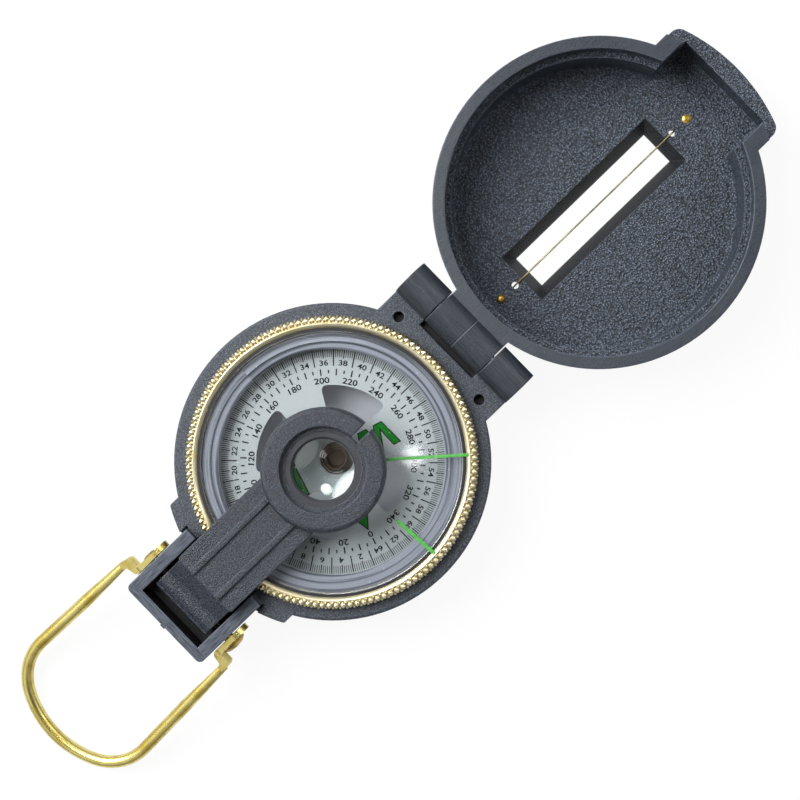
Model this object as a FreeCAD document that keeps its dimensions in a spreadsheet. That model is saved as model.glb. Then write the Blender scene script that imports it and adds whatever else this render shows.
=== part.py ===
import FreeCAD, Part
import math
import os
import re
import Sketcher
from FreeCAD import Placement, Rotation, Vector

# Sighting compass: a folding case with a floating dial under a rotating bezel,
# a lid with a sighting wire, a hinged arm with a reading lens and a thumb loop.
# Millimetres. +Z is up, +Y points to the lid, +X to the right. The origin is on
# the dial's axis, on the underside of the case. The compass is modelled open:
# lid laid back by half a turn, arm folded over the dial, thumb loop drawn out.

doc = FreeCAD.newDocument("sighting_compass")
sheet = doc.addObject("Spreadsheet::Sheet", "sizes")

DRIVING_SIZES = {
    # case
    "base_radius": 24.3,
    "body_radius": 25.2,
    "flange_radius": 27.45,
    "flange_bottom": 8.0,
    "flange_top": 11.0,
    "floor_thick": 2.0,
    "capsule_radius": 20.95,
    "neck_radius": 22.42,
    "neck_top": 11.95,
    "ear_radius": 29.1,
    "ear_half_width": 14.2,
    "ear_root_y": -22.5,
    "dimple_x": 9.93,
    "dimple_y": 25.65,
    "dimple_radius": 0.95,
    "dimple_depth": 2.4,
    # hinge between case and lid
    "hinge_y": 31.8,
    "hinge_z": 12.5,
    "barrel_radius": 3.4,
    "tab_half_width": 13.4,
    "tab_end": 28.4,
    "tab_root_y": 22.0,
    "gusset_root_y": 24.0,
    "knuckle_shelf": 0.9,
    "knuckle_half_width": 6.3,
    "knuckle_gap": 0.2,
    "notch_y": 27.3,
    "hinge_pin_radius": 0.9,
    "running_gap": 0.05,
    # bracket that carries the arm and the loop
    "bracket_half_width": 9.15,
    "bracket_inner": 6.85,
    "bracket_start": 25.9,
    "bracket_end": 40.4,
    "bracket_end_inner": 38.7,
    "bracket_bottom": 6.0,
    "bracket_floor": 7.4,
    "bracket_top": 13.4,
    "nub_half_width": 0.5,
    "nub_depth": 0.25,
    "pivot_y": -34.1,
    "pivot_z": 10.5,
    "pivot_pin_radius": 0.95,
    # capsule
    "cup_wall": 0.6,
    "cup_top": 9.9,
    "seal_thick": 0.3,
    "window_thick": 0.7,
    "clamp_inner": 19.5,
    "clamp_step": 20.7,
    "clamp_outer": 22.3,
    "clamp_top": 12.25,
    # floating dial
    "dial_radius": 19.6,
    "dial_bottom": 8.9,
    "dial_thick": 0.3,
    "dial_window_outer": 13.3,
    "dial_window_inner": 4.6,
    "dial_window_spread": 26.5,
    "dial_window_first": 28.5,
    "dial_north": -16.5,
    "hub_radius": 2.3,
    "jewel_radius": 0.9,
    "post_radius": 0.8,
    "post_tip_z": 8.3,
    "magnet_length": 22.0,
    "magnet_width": 4.4,
    "magnet_thick": 1.1,
    # rotating bezel
    "bezel_radius": 25.3,
    "bezel_bore": 22.5,
    "bezel_seat": 23.1,
    "bezel_bottom": 11.2,
    "bezel_top": 13.6,
    "bezel_chamfer": 0.85,
    "bezel_teeth": 128,
    "tooth_depth": 0.42,
    "tooth_half_width": 0.5,
    "crystal_radius": 22.4,
    "crystal_bottom": 12.5,
    "crystal_top": 13.5,
    "ring_half_size": 0.2,
    "ring_z": 11.55,
    "line_half_width": 0.4,
    "line_thick": 0.06,
    "long_line_start": 8.9,
    "short_line_start": 15.0,
    "long_line_angle": 49.2,
    "short_line_angle": 4.6,
    "line_end": 23.75,
    # lid
    "lid_y": 63.55,
    "lid_radius": 28.3,
    "lid_rim_z": 13.8,
    "lid_rim_inner": 26.2,
    "lid_ledge_z": 10.8,
    "lid_floor_radius": 25.0,
    "lid_floor_z": 2.2,
    "tongue_root": 22.0,
    "tongue_half_width": 12.5,
    "tongue_pocket": 9.6,
    "tongue_pocket_root": 18.0,
    "tongue_step_radius": 30.7,
    "tongue_lip_radius": 33.8,
    "tongue_lip_z": 8.2,
    "slot_half_width": 3.25,
    "slot_half_length": 15.7,
    "slot_bevel": 1.95,
    "wire_hole_y": 19.2,
    "wire_hole_radius": 0.65,
    "wire_pin_y": 22.7,
    "wire_pin_radius": 0.8,
    "wire_radius": 0.15,
    # sight arm and lens
    "arm_bottom": 14.1,
    "arm_top": 16.4,
    "arm_half_width": 6.45,
    "arm_end_y": -30.0,
    "head_y": -1.5,
    "head_radius": 10.65,
    "head_top": 18.6,
    "rib_x": 3.0,
    "rib_half_width": 0.5,
    "rib_height": 0.45,
    "rib_start_y": -13.0,
    "notch_half_width": 0.75,
    "notch_end_y": 5.6,
    "lens_radius": 6.4,
    "lens_opening": 5.25,
    "lens_seat_z": 15.3,
    "lens_edge": 1.2,
    "lens_bulge": 0.75,
    "lens_ring_top": 17.4,
    "sink_radius": 7.4,
    "root_half_width": 6.1,
    "root_radius": 2.75,
    # thumb loop
    "loop_wire_radius": 1.1,
    "loop_droop": 14.45,
    "loop_reach": 37.6,
    "eye_inner_x": 9.4,
    "eye_thick": 1.0,
    "eye_half_length": 3.9,
    "eye_half_height": 2.3,
    "leg_x": 12.3,
    "leg_start": 5.0,
    "leg_round": 15.0,
    "leg_round_x": 12.7,
    "bow_half_width": 13.15,
    "bow_corner_radius": 9.5,
    "bow_crown_radius": 16.5,
    # longer than any cut that goes right through
    "through": 40.0,
}

for row, (alias, size) in enumerate(DRIVING_SIZES.items(), start=1):
    sheet.set(f"A{row}", alias)
    sheet.set(f"B{row}", str(size))
    sheet.setAlias(f"B{row}", alias)
doc.recompute()


def cells(text):
    """An expression with every sheet alias written out as sizes.alias."""
    def prefix(match):
        word = match.group(0)
        return "sizes." + word if word in DRIVING_SIZES else word
    return re.sub(r"[a-z][a-z_]*", prefix, str(text))


def number(text):
    """The value of an expression, in millimetres or degrees."""
    return float(sheet.evalExpression(cells(text)))


def bind(thing, prop, text):
    thing.setExpression(prop, cells(text))


def new_body(label):
    body = doc.addObject("PartDesign::Body", label)
    body.Label = label
    return body


def sketch_on(body, name, plane, lift="0"):
    """An empty sketch on one of the body's own origin planes, raised by lift."""
    sketch = body.newObject("Sketcher::SketchObject", name)
    support = [one for one in body.Origin.OriginFeatures if one.Role == plane][0]
    sketch.AttachmentSupport = [(support, "")]
    sketch.MapMode = "FlatFace"
    bind(sketch, "AttachmentOffset.Base.z", lift)
    return sketch


def pin_down(sketch, kind, geometry, position, text):
    """Fixes one coordinate of a point, bound to the sheet."""
    index = sketch.addConstraint(Sketcher.Constraint(kind, geometry, position, number(text)))
    bind(sketch, f"Constraints[{index}]", text)


def draw_outline(sketch, corners):
    """Closed outline. A corner is (x, y), or (x, y, (cx, cy)) when a short arc
    about (cx, cy) leads to it: then x and the centre fix the corner."""
    places = []
    for corner in corners:
        places.append(Vector(number(corner[0]), number(corner[1]), 0))
    ends = []
    for index, corner in enumerate(corners):
        start = places[index - 1]
        finish = places[index]
        if len(corner) == 2:
            geometry = sketch.addGeometry(Part.LineSegment(start, finish))
            ends.append((geometry, 1, 2))
            continue
        centre = Vector(number(corner[2][0]), number(corner[2][1]), 0)
        radius = (start - centre).Length
        first = math.atan2(start.y - centre.y, start.x - centre.x)
        last = math.atan2(finish.y - centre.y, finish.x - centre.x)
        forward = (last - first) % (2 * math.pi) < math.pi + 0.01
        circle = Part.Circle(centre, Vector(0, 0, 1), radius)
        if forward:
            geometry = sketch.addGeometry(Part.ArcOfCircle(circle, first, last))
            ends.append((geometry, 1, 2))
        else:
            geometry = sketch.addGeometry(Part.ArcOfCircle(circle, last, first))
            ends.append((geometry, 2, 1))
        pin_down(sketch, "DistanceX", geometry, 3, corner[2][0])
        pin_down(sketch, "DistanceY", geometry, 3, corner[2][1])
    for index, corner in enumerate(corners):
        geometry, _, finish = ends[index]
        following, start, _ = ends[(index + 1) % len(ends)]
        sketch.addConstraint(Sketcher.Constraint("Coincident", geometry, finish, following, start))
        pin_down(sketch, "DistanceX", geometry, finish, corner[0])
        if len(corner) == 2:
            pin_down(sketch, "DistanceY", geometry, finish, corner[1])


def draw_circle(sketch, x, y, radius):
    centre = Vector(number(x), number(y), 0)
    circle = Part.Circle(centre, Vector(0, 0, 1), number(radius))
    geometry = sketch.addGeometry(circle)
    pin_down(sketch, "DistanceX", geometry, 3, x)
    pin_down(sketch, "DistanceY", geometry, 3, y)
    index = sketch.addConstraint(Sketcher.Constraint("Radius", geometry, number(radius)))
    bind(sketch, f"Constraints[{index}]", radius)


def box_corners(low_x, high_x, low_y, high_y):
    return [(low_x, low_y), (high_x, low_y), (high_x, high_y), (low_x, high_y)]


def pad(body, sketch, length, symmetric=False, backward=False):
    feature = body.newObject("PartDesign::Pad", sketch.Name + "_pad")
    feature.Profile = sketch
    feature.SideType = "Symmetric" if symmetric else "One side"
    feature.Reversed = backward
    bind(feature, "Length", length)
    sketch.Visibility = False
    doc.recompute()
    return feature


def pocket(body, sketch, length, symmetric=False, upward=False):
    """Cuts the outline out of the body; stops if nothing was removed."""
    before = body.Shape.Volume
    feature = body.newObject("PartDesign::Pocket", sketch.Name + "_pocket")
    feature.Profile = sketch
    feature.SideType = "Symmetric" if symmetric else "One side"
    feature.Reversed = upward
    bind(feature, "Length", length)
    doc.recompute()
    if not body.Shape.Volume < before - 1e-6:
        raise RuntimeError(f"{feature.Name} cuts nothing")
    return feature


def revolve(body, sketch, cut=False):
    """Turns an outline of (radius, height) once round the sketch's upright axis."""
    before = body.Shape.Volume if cut else 0
    kind = "PartDesign::Groove" if cut else "PartDesign::Revolution"
    feature = body.newObject(kind, sketch.Name + "_turned")
    feature.Profile = sketch
    feature.ReferenceAxis = (sketch, ["V_Axis"])
    feature.Angle = 360
    doc.recompute()
    if cut and not body.Shape.Volume < before - 1e-6:
        raise RuntimeError(f"{feature.Name} cuts nothing")
    return feature


def turned_part(label, corners):
    """A body that is one outline of (radius, height) turned about the Z axis."""
    body = new_body(label)
    sketch = sketch_on(body, label + "_section", "XZ_Plane")
    draw_outline(sketch, corners)
    revolve(body, sketch)
    return body


def round_edges(body, radius, chosen, name):
    """Fillets the edges of the body's tip for which chosen(edge) is true."""
    tip = body.Tip
    names = []
    for index, edge in enumerate(tip.Shape.Edges, start=1):
        if chosen(edge):
            names.append(f"Edge{index}")
    if not names:
        raise RuntimeError(f"{name} finds no edge")
    fillet = body.newObject("PartDesign::Fillet", name)
    fillet.Base = (tip, names)
    fillet.Radius = radius
    doc.recompute()
    return fillet


def near(first, second, slack=0.02):
    return abs(first - second) < slack


def ring_edge(radius, height):
    """Picks round edges of one radius at one height."""
    def chosen(edge):
        curve = edge.Curve
        if not isinstance(curve, Part.Circle):
            return False
        return near(curve.Radius, number(radius)) and near(edge.CenterOfMass.z, number(height))
    return chosen


def corner_edge(x, y):
    """Picks upright edges at one distance from the middle plane and one y."""
    def chosen(edge):
        box = edge.BoundBox
        upright = box.ZLength > 0.5 and box.XLength < 0.01 and box.YLength < 0.01
        return upright and near(abs(box.Center.x), number(x)) and near(box.Center.y, number(y))
    return chosen


def make_case_body():
    """Cupped case with a flange, hinge barrels, rear bracket and two ears."""
    body = new_body("case_body")
    shell = sketch_on(body, "case_shell", "XZ_Plane")
    draw_outline(shell, [
        ("0", "0"),
        ("base_radius", "0"),
        ("body_radius", "flange_bottom"),
        ("flange_radius", "flange_bottom"),
        ("flange_radius", "flange_top"),
        ("neck_radius", "flange_top"),
        ("neck_radius", "ring_z - ring_half_size"),
        ("neck_radius - ring_half_size", "ring_z - ring_half_size"),
        ("neck_radius - ring_half_size", "ring_z + ring_half_size"),
        ("neck_radius", "ring_z + ring_half_size"),
        ("neck_radius", "neck_top"),
        ("capsule_radius", "neck_top"),
        ("capsule_radius", "floor_thick"),
        ("0", "floor_thick"),
    ])
    revolve(body, shell)
    round_edges(body, 1.0, ring_edge("base_radius", "0"), "base_rounding")
    round_edges(body, 0.4, ring_edge("flange_radius", "flange_top"), "flange_top_rounding")
    round_edges(body, 0.4, ring_edge("flange_radius", "flange_bottom"), "flange_rounding")

    tab = sketch_on(body, "hinge_tab", "XY_Plane", "flange_bottom")
    draw_outline(tab, box_corners("-tab_half_width", "tab_half_width", "tab_root_y", "tab_end"))
    pad(body, tab, "flange_top - flange_bottom")
    barrel = sketch_on(body, "hinge_barrel", "YZ_Plane")
    draw_circle(barrel, "hinge_y", "hinge_z", "barrel_radius")
    pad(body, barrel, "2 * tab_half_width", symmetric=True)
    gusset = sketch_on(body, "hinge_gusset", "YZ_Plane")
    draw_outline(gusset, [
        ("gusset_root_y", "flange_bottom"),
        ("tab_end + 1", "flange_bottom"),
        ("hinge_y", "hinge_z - barrel_radius"),
        ("hinge_y", "hinge_z"),
        ("tab_end + 0.3", "flange_top"),
        ("gusset_root_y", "flange_top"),
    ])
    pad(body, gusset, "2 * tab_half_width", symmetric=True)
    gap = sketch_on(body, "knuckle_gap_cut", "XY_Plane", "flange_bottom + knuckle_shelf")
    half_gap = "knuckle_half_width + knuckle_gap"
    draw_outline(gap, box_corners(f"-({half_gap})", half_gap, "notch_y", "hinge_y + 6"))
    pocket(body, gap, "through", upward=True)
    bore = sketch_on(body, "hinge_bore", "YZ_Plane")
    draw_circle(bore, "hinge_y", "hinge_z", "hinge_pin_radius")
    pocket(body, bore, "through", symmetric=True)
    dimples = sketch_on(body, "dimples", "XY_Plane", "flange_top")
    draw_circle(dimples, "-dimple_x", "dimple_y", "dimple_radius")
    draw_circle(dimples, "dimple_x", "dimple_y", "dimple_radius")
    pocket(body, dimples, "dimple_depth")

    ears = sketch_on(body, "ears", "XY_Plane", "flange_bottom")
    ear_y = "-sqrt(ear_radius * ear_radius - ear_half_width * ear_half_width)"
    draw_outline(ears, [
        ("ear_half_width", "ear_root_y"),
        ("-ear_half_width", "ear_root_y"),
        ("-ear_half_width", ear_y),
        ("ear_half_width", ear_y, ("0", "0")),
    ])
    pad(body, ears, "flange_top - flange_bottom")
    round_edges(body, 0.5, corner_edge("ear_half_width", ear_y), "ear_rounding")
    block = sketch_on(body, "bracket_block", "XY_Plane", "bracket_bottom")
    draw_outline(block, box_corners("-bracket_half_width", "bracket_half_width",
                                    "-bracket_end", "ear_root_y"))
    pad(body, block, "flange_top - bracket_bottom")
    walls = sketch_on(body, "bracket_walls", "XY_Plane", "flange_top")
    draw_outline(walls, box_corners("-bracket_half_width", "bracket_half_width",
                                    "-bracket_end", "-bracket_start"))
    pad(body, walls, "bracket_top - flange_top")
    well = sketch_on(body, "bracket_well", "XY_Plane", "bracket_floor")
    draw_outline(well, box_corners("-bracket_inner", "bracket_inner",
                                   "-bracket_end_inner", "-flange_radius - 0.2"))
    pocket(body, well, "through", upward=True)
    mouth = sketch_on(body, "bracket_mouth", "XY_Plane", "flange_top")
    draw_outline(mouth, box_corners("-bracket_inner", "bracket_inner",
                                    "-flange_radius - 1", "-bracket_start + 0.5"))
    pocket(body, mouth, "through", upward=True)
    reliefs = sketch_on(body, "ear_reliefs", "XY_Plane", "flange_top")
    for side in ("-1", "1"):
        near_x = f"{side} * bracket_half_width"
        far_x = f"{side} * (bracket_half_width + 0.5)"
        draw_outline(reliefs, box_corners(near_x, far_x, "-ear_radius", "0.15 - bracket_start"))
    pocket(body, reliefs, "1.2")
    nub = sketch_on(body, "gate_nub", "XY_Plane", "bracket_floor")
    draw_outline(nub, box_corners("-nub_half_width", "nub_half_width",
                                  "-bracket_end - nub_depth", "-bracket_end_inner - 0.5"))
    pad(body, nub, "bracket_top - bracket_floor")
    pivot = sketch_on(body, "pivot_bore", "YZ_Plane")
    draw_circle(pivot, "pivot_y", "pivot_z", "pivot_pin_radius")
    pocket(body, pivot, "through", symmetric=True)
    round_edges(body, 1.0, corner_edge("bracket_half_width", "-bracket_end"), "bracket_rounding")
    return body


def make_capsule():
    """Metal cup with its pivot post, seal, window and clamp ring."""
    turned_part("capsule_cup", [
        ("0", "floor_thick"),
        ("capsule_radius", "floor_thick"),
        ("capsule_radius", "cup_top"),
        ("capsule_radius - cup_wall", "cup_top"),
        ("capsule_radius - cup_wall", "floor_thick + 1.6"),
        ("capsule_radius - 1.6", "floor_thick + cup_wall", ("capsule_radius - 1.6", "floor_thick + 1.6")),
        ("0", "floor_thick + cup_wall"),
    ])
    turned_part("pivot_post", [
        ("0", "floor_thick + cup_wall"),
        ("2.6", "floor_thick + cup_wall"),
        ("2.2", "floor_thick + cup_wall + 0.6"),
        ("post_radius", "floor_thick + cup_wall + 0.9"),
        ("post_radius", "6.4"),
        ("0.12", "post_tip_z - 0.1"),
        ("0", "post_tip_z"),
    ])
    turned_part("capsule_seal", [
        ("capsule_radius - cup_wall", "cup_top"),
        ("capsule_radius", "cup_top"),
        ("capsule_radius", "cup_top + seal_thick"),
        ("capsule_radius - cup_wall", "cup_top + seal_thick"),
    ])
    turned_part("capsule_window", [
        ("0", "cup_top + seal_thick"),
        ("capsule_radius", "cup_top + seal_thick"),
        ("capsule_radius", "cup_top + seal_thick + window_thick"),
        ("0", "cup_top + seal_thick + window_thick"),
    ])
    turned_part("capsule_clamp_ring", [
        ("clamp_inner", "cup_top + seal_thick + window_thick"),
        ("capsule_radius", "cup_top + seal_thick + window_thick"),
        ("capsule_radius", "neck_top"),
        ("clamp_outer", "neck_top"),
        ("clamp_outer", "clamp_top"),
        ("clamp_step + 0.1", "clamp_top"),
        ("clamp_step", "clamp_top - 0.25"),
        ("clamp_inner + 0.3", "clamp_top - 0.3"),
        ("clamp_inner", "clamp_top - 0.6"),
    ])


def make_dial_card():
    """Thin printed card with four rounded windows between its spokes."""
    body = new_body("dial_card")
    disc = sketch_on(body, "dial_disc", "XY_Plane", "dial_bottom")
    draw_circle(disc, "0", "0", "dial_radius")
    draw_circle(disc, "0", "0", "jewel_radius + 0.5")
    pad(body, disc, "dial_thick")
    window = sketch_on(body, "dial_window", "XY_Plane", "dial_bottom")
    across = "dial_window_outer * sin(dial_window_spread * 1 deg)"
    along = "dial_window_outer * cos(dial_window_spread * 1 deg)"
    draw_outline(window, [
        ("dial_window_inner - 0.2", "-1.3"),
        (along, f"-({across})"),
        (along, across, ("0", "0")),
        ("dial_window_inner - 0.2", "1.3"),
    ])
    cut = pocket(body, window, "dial_thick", upward=True)
    corners = round_edges(body, 0.9, lambda edge: (
        edge.BoundBox.ZLength > 0.2 and edge.BoundBox.XLength < 0.01
        and edge.BoundBox.YLength < 0.01 and edge.BoundBox.Center.x > 3), "window_corners")
    ring = body.newObject("PartDesign::PolarPattern", "dial_windows")
    ring.Originals = [cut, corners]
    ring.Axis = (disc, ["N_Axis"])
    ring.Angle = 360
    ring.Occurrences = 4
    body.Tip = ring
    bind(body, "Placement.Rotation.Angle", "dial_window_first")
    doc.recompute()
    return body


def make_dial_fittings():
    """Hub, jewel and magnet that ride with the dial card."""
    turned_part("dial_hub", [
        ("jewel_radius", "dial_bottom - 1.2"),
        ("jewel_radius + 0.5", "dial_bottom - 1.2"),
        ("jewel_radius + 0.5", "dial_bottom + dial_thick"),
        ("hub_radius", "dial_bottom + dial_thick"),
        ("hub_radius - 0.2", "dial_bottom + dial_thick + 0.3"),
        ("0", "dial_bottom + dial_thick + 0.5"),
        ("0", "dial_bottom + 0.1"),
        ("jewel_radius", "dial_bottom + 0.1"),
    ])
    turned_part("dial_jewel", [
        ("0", "post_tip_z + 0.1"),
        ("0.45", "dial_bottom - 1.0"),
        ("jewel_radius", "dial_bottom - 1.0"),
        ("jewel_radius", "dial_bottom + 0.1"),
        ("0", "dial_bottom + 0.1"),
    ])
    magnet = new_body("dial_magnet")
    bar = sketch_on(magnet, "magnet_bar", "XY_Plane", "dial_bottom - magnet_thick")
    draw_outline(bar, [
        ("-magnet_length / 2", "0"),
        ("-magnet_length / 2 + 3", "-magnet_width / 2"),
        ("magnet_length / 2 - 3", "-magnet_width / 2"),
        ("magnet_length / 2", "0"),
        ("magnet_length / 2 - 3", "magnet_width / 2"),
        ("-magnet_length / 2 + 3", "magnet_width / 2"),
    ])
    draw_circle(bar, "0", "0", "jewel_radius + 0.5")
    pad(magnet, bar, "magnet_thick")
    bind(magnet, "Placement.Rotation.Angle", "dial_north")
    return magnet


def make_bezel_ring():
    """Knurled ring: turned section, then one coined tooth gap patterned round."""
    body = turned_part("bezel_ring", [
        ("bezel_bore", "bezel_bottom"),
        ("bezel_radius", "bezel_bottom"),
        ("bezel_radius", "bezel_top - 0.95"),
        ("bezel_radius - 0.9", "bezel_top - 0.15"),
        ("bezel_radius - 1.1", "bezel_top - 0.15"),
        ("bezel_radius - 1.2", "bezel_top"),
        ("bezel_seat + bezel_chamfer", "bezel_top"),
        ("bezel_seat", "bezel_top - 0.5"),
        ("bezel_seat", "crystal_bottom"),
        ("bezel_bore", "crystal_bottom"),
        ("bezel_bore", "ring_z + 0.25"),
        ("bezel_bore + 0.25", "ring_z + 0.25"),
        ("bezel_bore + 0.25", "ring_z - 0.25"),
        ("bezel_bore", "ring_z - 0.25"),
    ])
    gap = sketch_on(body, "tooth_gap", "XY_Plane", "bezel_bottom - 0.5")
    draw_outline(gap, [
        ("bezel_radius + 0.1", "-tooth_half_width"),
        ("bezel_radius + 0.1", "tooth_half_width"),
        ("bezel_radius - tooth_depth", "0"),
    ])
    cut = pocket(body, gap, "through", upward=True)
    ring = body.newObject("PartDesign::PolarPattern", "bezel_knurl")
    ring.Originals = [cut]
    ring.Axis = (gap, ["N_Axis"])
    ring.Angle = 360
    bind(ring, "Occurrences", "bezel_teeth")
    body.Tip = ring
    doc.recompute()
    return body


def make_bezel_fittings():
    """Crystal with its gasket, luminous lines and the split retaining ring."""
    turned_part("bezel_crystal", [
        ("0", "crystal_bottom"),
        ("crystal_radius + 0.15", "crystal_bottom"),
        ("crystal_radius + 0.15", "crystal_top - 0.15"),
        ("crystal_radius", "crystal_top"),
        ("0", "crystal_top"),
    ])
    turned_part("crystal_gasket", [
        ("crystal_radius + 0.15", "crystal_bottom"),
        ("bezel_seat", "crystal_bottom"),
        ("bezel_seat", "bezel_top - 0.55"),
        ("crystal_radius + 0.15", "bezel_top - 0.55"),
    ])
    for name, start, angle in (("index_line_long", "long_line_start", "long_line_angle"),
                               ("index_line_short", "short_line_start", "short_line_angle")):
        line = new_body(name)
        strip = sketch_on(line, name + "_strip", "XY_Plane", "crystal_top")
        draw_outline(strip, box_corners(start, "line_end",
                                        "-line_half_width", "line_half_width"))
        pad(line, strip, "line_thick")
        bind(line, "Placement.Rotation.Angle", angle)
    ring = turned_part("bezel_retaining_ring", [
        ("neck_radius - ring_half_size", "ring_z - ring_half_size"),
        ("neck_radius + ring_half_size", "ring_z - ring_half_size"),
        ("neck_radius + ring_half_size", "ring_z + ring_half_size"),
        ("neck_radius - ring_half_size", "ring_z + ring_half_size"),
    ])
    split = sketch_on(ring, "ring_split", "XY_Plane", "ring_z - 1")
    draw_outline(split, box_corners("-neck_radius - 1", "-neck_radius + 1", "-0.6", "0.6"))
    pocket(ring, split, "through", upward=True)


def tongue_outline(sketch, radius, half_width):
    """Tongue of the lid seen from above: two sides and an arc about the lid's centre."""
    far_y = f"sqrt({radius} * {radius} - {half_width} * {half_width})"
    draw_outline(sketch, [
        (f"-{half_width}", "tongue_root"),
        (half_width, "tongue_root"),
        (half_width, far_y),
        (f"-{half_width}", far_y, ("0", "0")),
    ])


def make_lid_shell():
    """Lid in its own frame, its centre on the origin and its cavity upward."""
    body = new_body("lid_shell")
    disc = sketch_on(body, "lid_disc", "XZ_Plane")
    draw_outline(disc, [
        ("0", "0"),
        ("lid_radius - 0.6", "0"),
        ("lid_radius", "lid_rim_z"),
        ("0", "lid_rim_z"),
    ])
    revolve(body, disc)
    round_edges(body, 2.0, ring_edge("lid_radius - 0.6", "0"), "lid_back_rounding")
    lip = sketch_on(body, "tongue_lip", "XY_Plane")
    tongue_outline(lip, "tongue_lip_radius", "tongue_half_width")
    pad(body, lip, "tongue_lip_z")
    lip_y = number("sqrt(tongue_lip_radius ^ 2 - tongue_half_width ^ 2)")
    round_edges(body, 2.0, corner_edge("tongue_half_width", lip_y), "tongue_rounding")
    sides = sketch_on(body, "tongue_sides", "XY_Plane", "tongue_lip_z")
    tongue_outline(sides, "tongue_step_radius", "tongue_half_width")
    pad(body, sides, "lid_rim_z - tongue_lip_z")
    knuckle = sketch_on(body, "knuckle", "YZ_Plane")
    draw_circle(knuckle, "hinge_y - lid_y", "hinge_z", "barrel_radius")
    pad(body, knuckle, "2 * knuckle_half_width", symmetric=True)
    web = sketch_on(body, "knuckle_web", "YZ_Plane")
    draw_outline(web, [
        ("hinge_y - lid_y", "hinge_z - barrel_radius"),
        ("hinge_y - lid_y + 4.2", "hinge_z - barrel_radius - 1.6"),
        ("hinge_y - lid_y + 4.8", "lid_rim_z"),
        ("hinge_y - lid_y", "lid_rim_z"),
    ])
    pad(body, web, "2 * knuckle_half_width", symmetric=True)
    hollow = sketch_on(body, "lid_hollow", "XZ_Plane")
    draw_outline(hollow, [
        ("0", "lid_floor_z"),
        ("lid_floor_radius - 0.6", "lid_floor_z"),
        ("lid_floor_radius", "lid_floor_z + 0.6"),
        ("lid_floor_radius + 0.1", "lid_ledge_z"),
        ("lid_rim_inner", "lid_ledge_z"),
        ("lid_rim_inner", "lid_rim_z + 0.5"),
        ("0", "lid_rim_z + 0.5"),
    ])
    revolve(body, hollow, cut=True)
    pit = sketch_on(body, "tongue_pocket_cut", "XY_Plane", "lid_floor_z")
    draw_outline(pit, box_corners("-tongue_pocket", "tongue_pocket",
                                  "tongue_pocket_root", "tongue_step_radius"))
    pocket(body, pit, "lid_rim_z", upward=True)
    bore = sketch_on(body, "knuckle_bore", "YZ_Plane")
    draw_circle(bore, "hinge_y - lid_y", "hinge_z", "hinge_pin_radius + running_gap")
    pocket(body, bore, "through", symmetric=True)
    cut_lid_openings(body)
    bind(body, "Placement.Base.y", "lid_y")
    doc.recompute()
    return body


def cut_lid_openings(body):
    """Bevelled sight slot, wire holes and pin holes through the lid's floor."""
    slot = sketch_on(body, "slot_bottom", "XY_Plane", "-0.01")
    draw_outline(slot, box_corners("-slot_half_width", "slot_half_width",
                                   "-slot_half_length", "slot_half_length"))
    mouth = sketch_on(body, "slot_mouth", "XY_Plane", "lid_floor_z + 0.01")
    wide = "slot_half_width + slot_bevel"
    long = "slot_half_length + slot_bevel"
    draw_outline(mouth, box_corners(f"-({wide})", wide, f"-({long})", long))
    before = body.Shape.Volume
    bevel = body.newObject("PartDesign::SubtractiveLoft", "slot_bevel_cut")
    bevel.Profile = slot
    bevel.Sections = [mouth]
    bevel.Ruled = True
    doc.recompute()
    if not body.Shape.Volume < before - 1:
        raise RuntimeError("slot_bevel_cut cuts nothing")
    holes = sketch_on(body, "wire_holes", "XY_Plane")
    draw_circle(holes, "0", "wire_hole_y", "wire_hole_radius")
    draw_circle(holes, "0", "-wire_hole_y", "wire_hole_radius")
    draw_circle(holes, "0", "wire_pin_y", "wire_pin_radius")
    draw_circle(holes, "0", "-wire_pin_y", "wire_pin_radius")
    pocket(body, holes, "through", upward=True)
    grooves = sketch_on(body, "wire_grooves", "XY_Plane")
    for near_y, far_y in (("-wire_pin_y", "-wire_hole_y"), ("wire_hole_y", "wire_pin_y")):
        draw_outline(grooves, box_corners("-0.3", "0.3", near_y, far_y))
    pocket(body, grooves, "0.6", upward=True)


def make_sight_wire():
    """Wire across the slot: up through one hole, along, and down the other."""
    body = new_body("sight_wire")
    low = "0.3"
    high = "lid_floor_z + 0.25"
    route = sketch_on(body, "wire_route", "YZ_Plane")
    places = [
        ("-wire_pin_y + wire_pin_radius", low),
        ("-wire_hole_y - 0.2", low),
        ("-wire_hole_y + 0.3", high),
        ("wire_hole_y - 0.3", high),
        ("wire_hole_y + 0.2", low),
        ("wire_pin_y - wire_pin_radius", low),
    ]
    points = [Vector(number(y), number(z), 0) for y, z in places]
    for index in range(len(points) - 1):
        route.addGeometry(Part.LineSegment(points[index], points[index + 1]))
        pin_down(route, "DistanceX", index, 1, places[index][0])
        pin_down(route, "DistanceY", index, 1, places[index][1])
        if index:
            route.addConstraint(Sketcher.Constraint("Coincident", index - 1, 2, index, 1))
    last = len(points) - 2
    pin_down(route, "DistanceX", last, 2, places[-1][0])
    pin_down(route, "DistanceY", last, 2, places[-1][1])
    section = sketch_on(body, "wire_section", "XZ_Plane", "wire_pin_y - wire_pin_radius")
    draw_circle(section, "0", low, "wire_radius")
    pipe = body.newObject("PartDesign::AdditivePipe", "wire_pipe")
    pipe.Profile = section
    pipe.Spine = route
    pipe.Transition = "Right corner"
    bind(body, "Placement.Base.y", "lid_y")
    doc.recompute()
    return body


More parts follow.
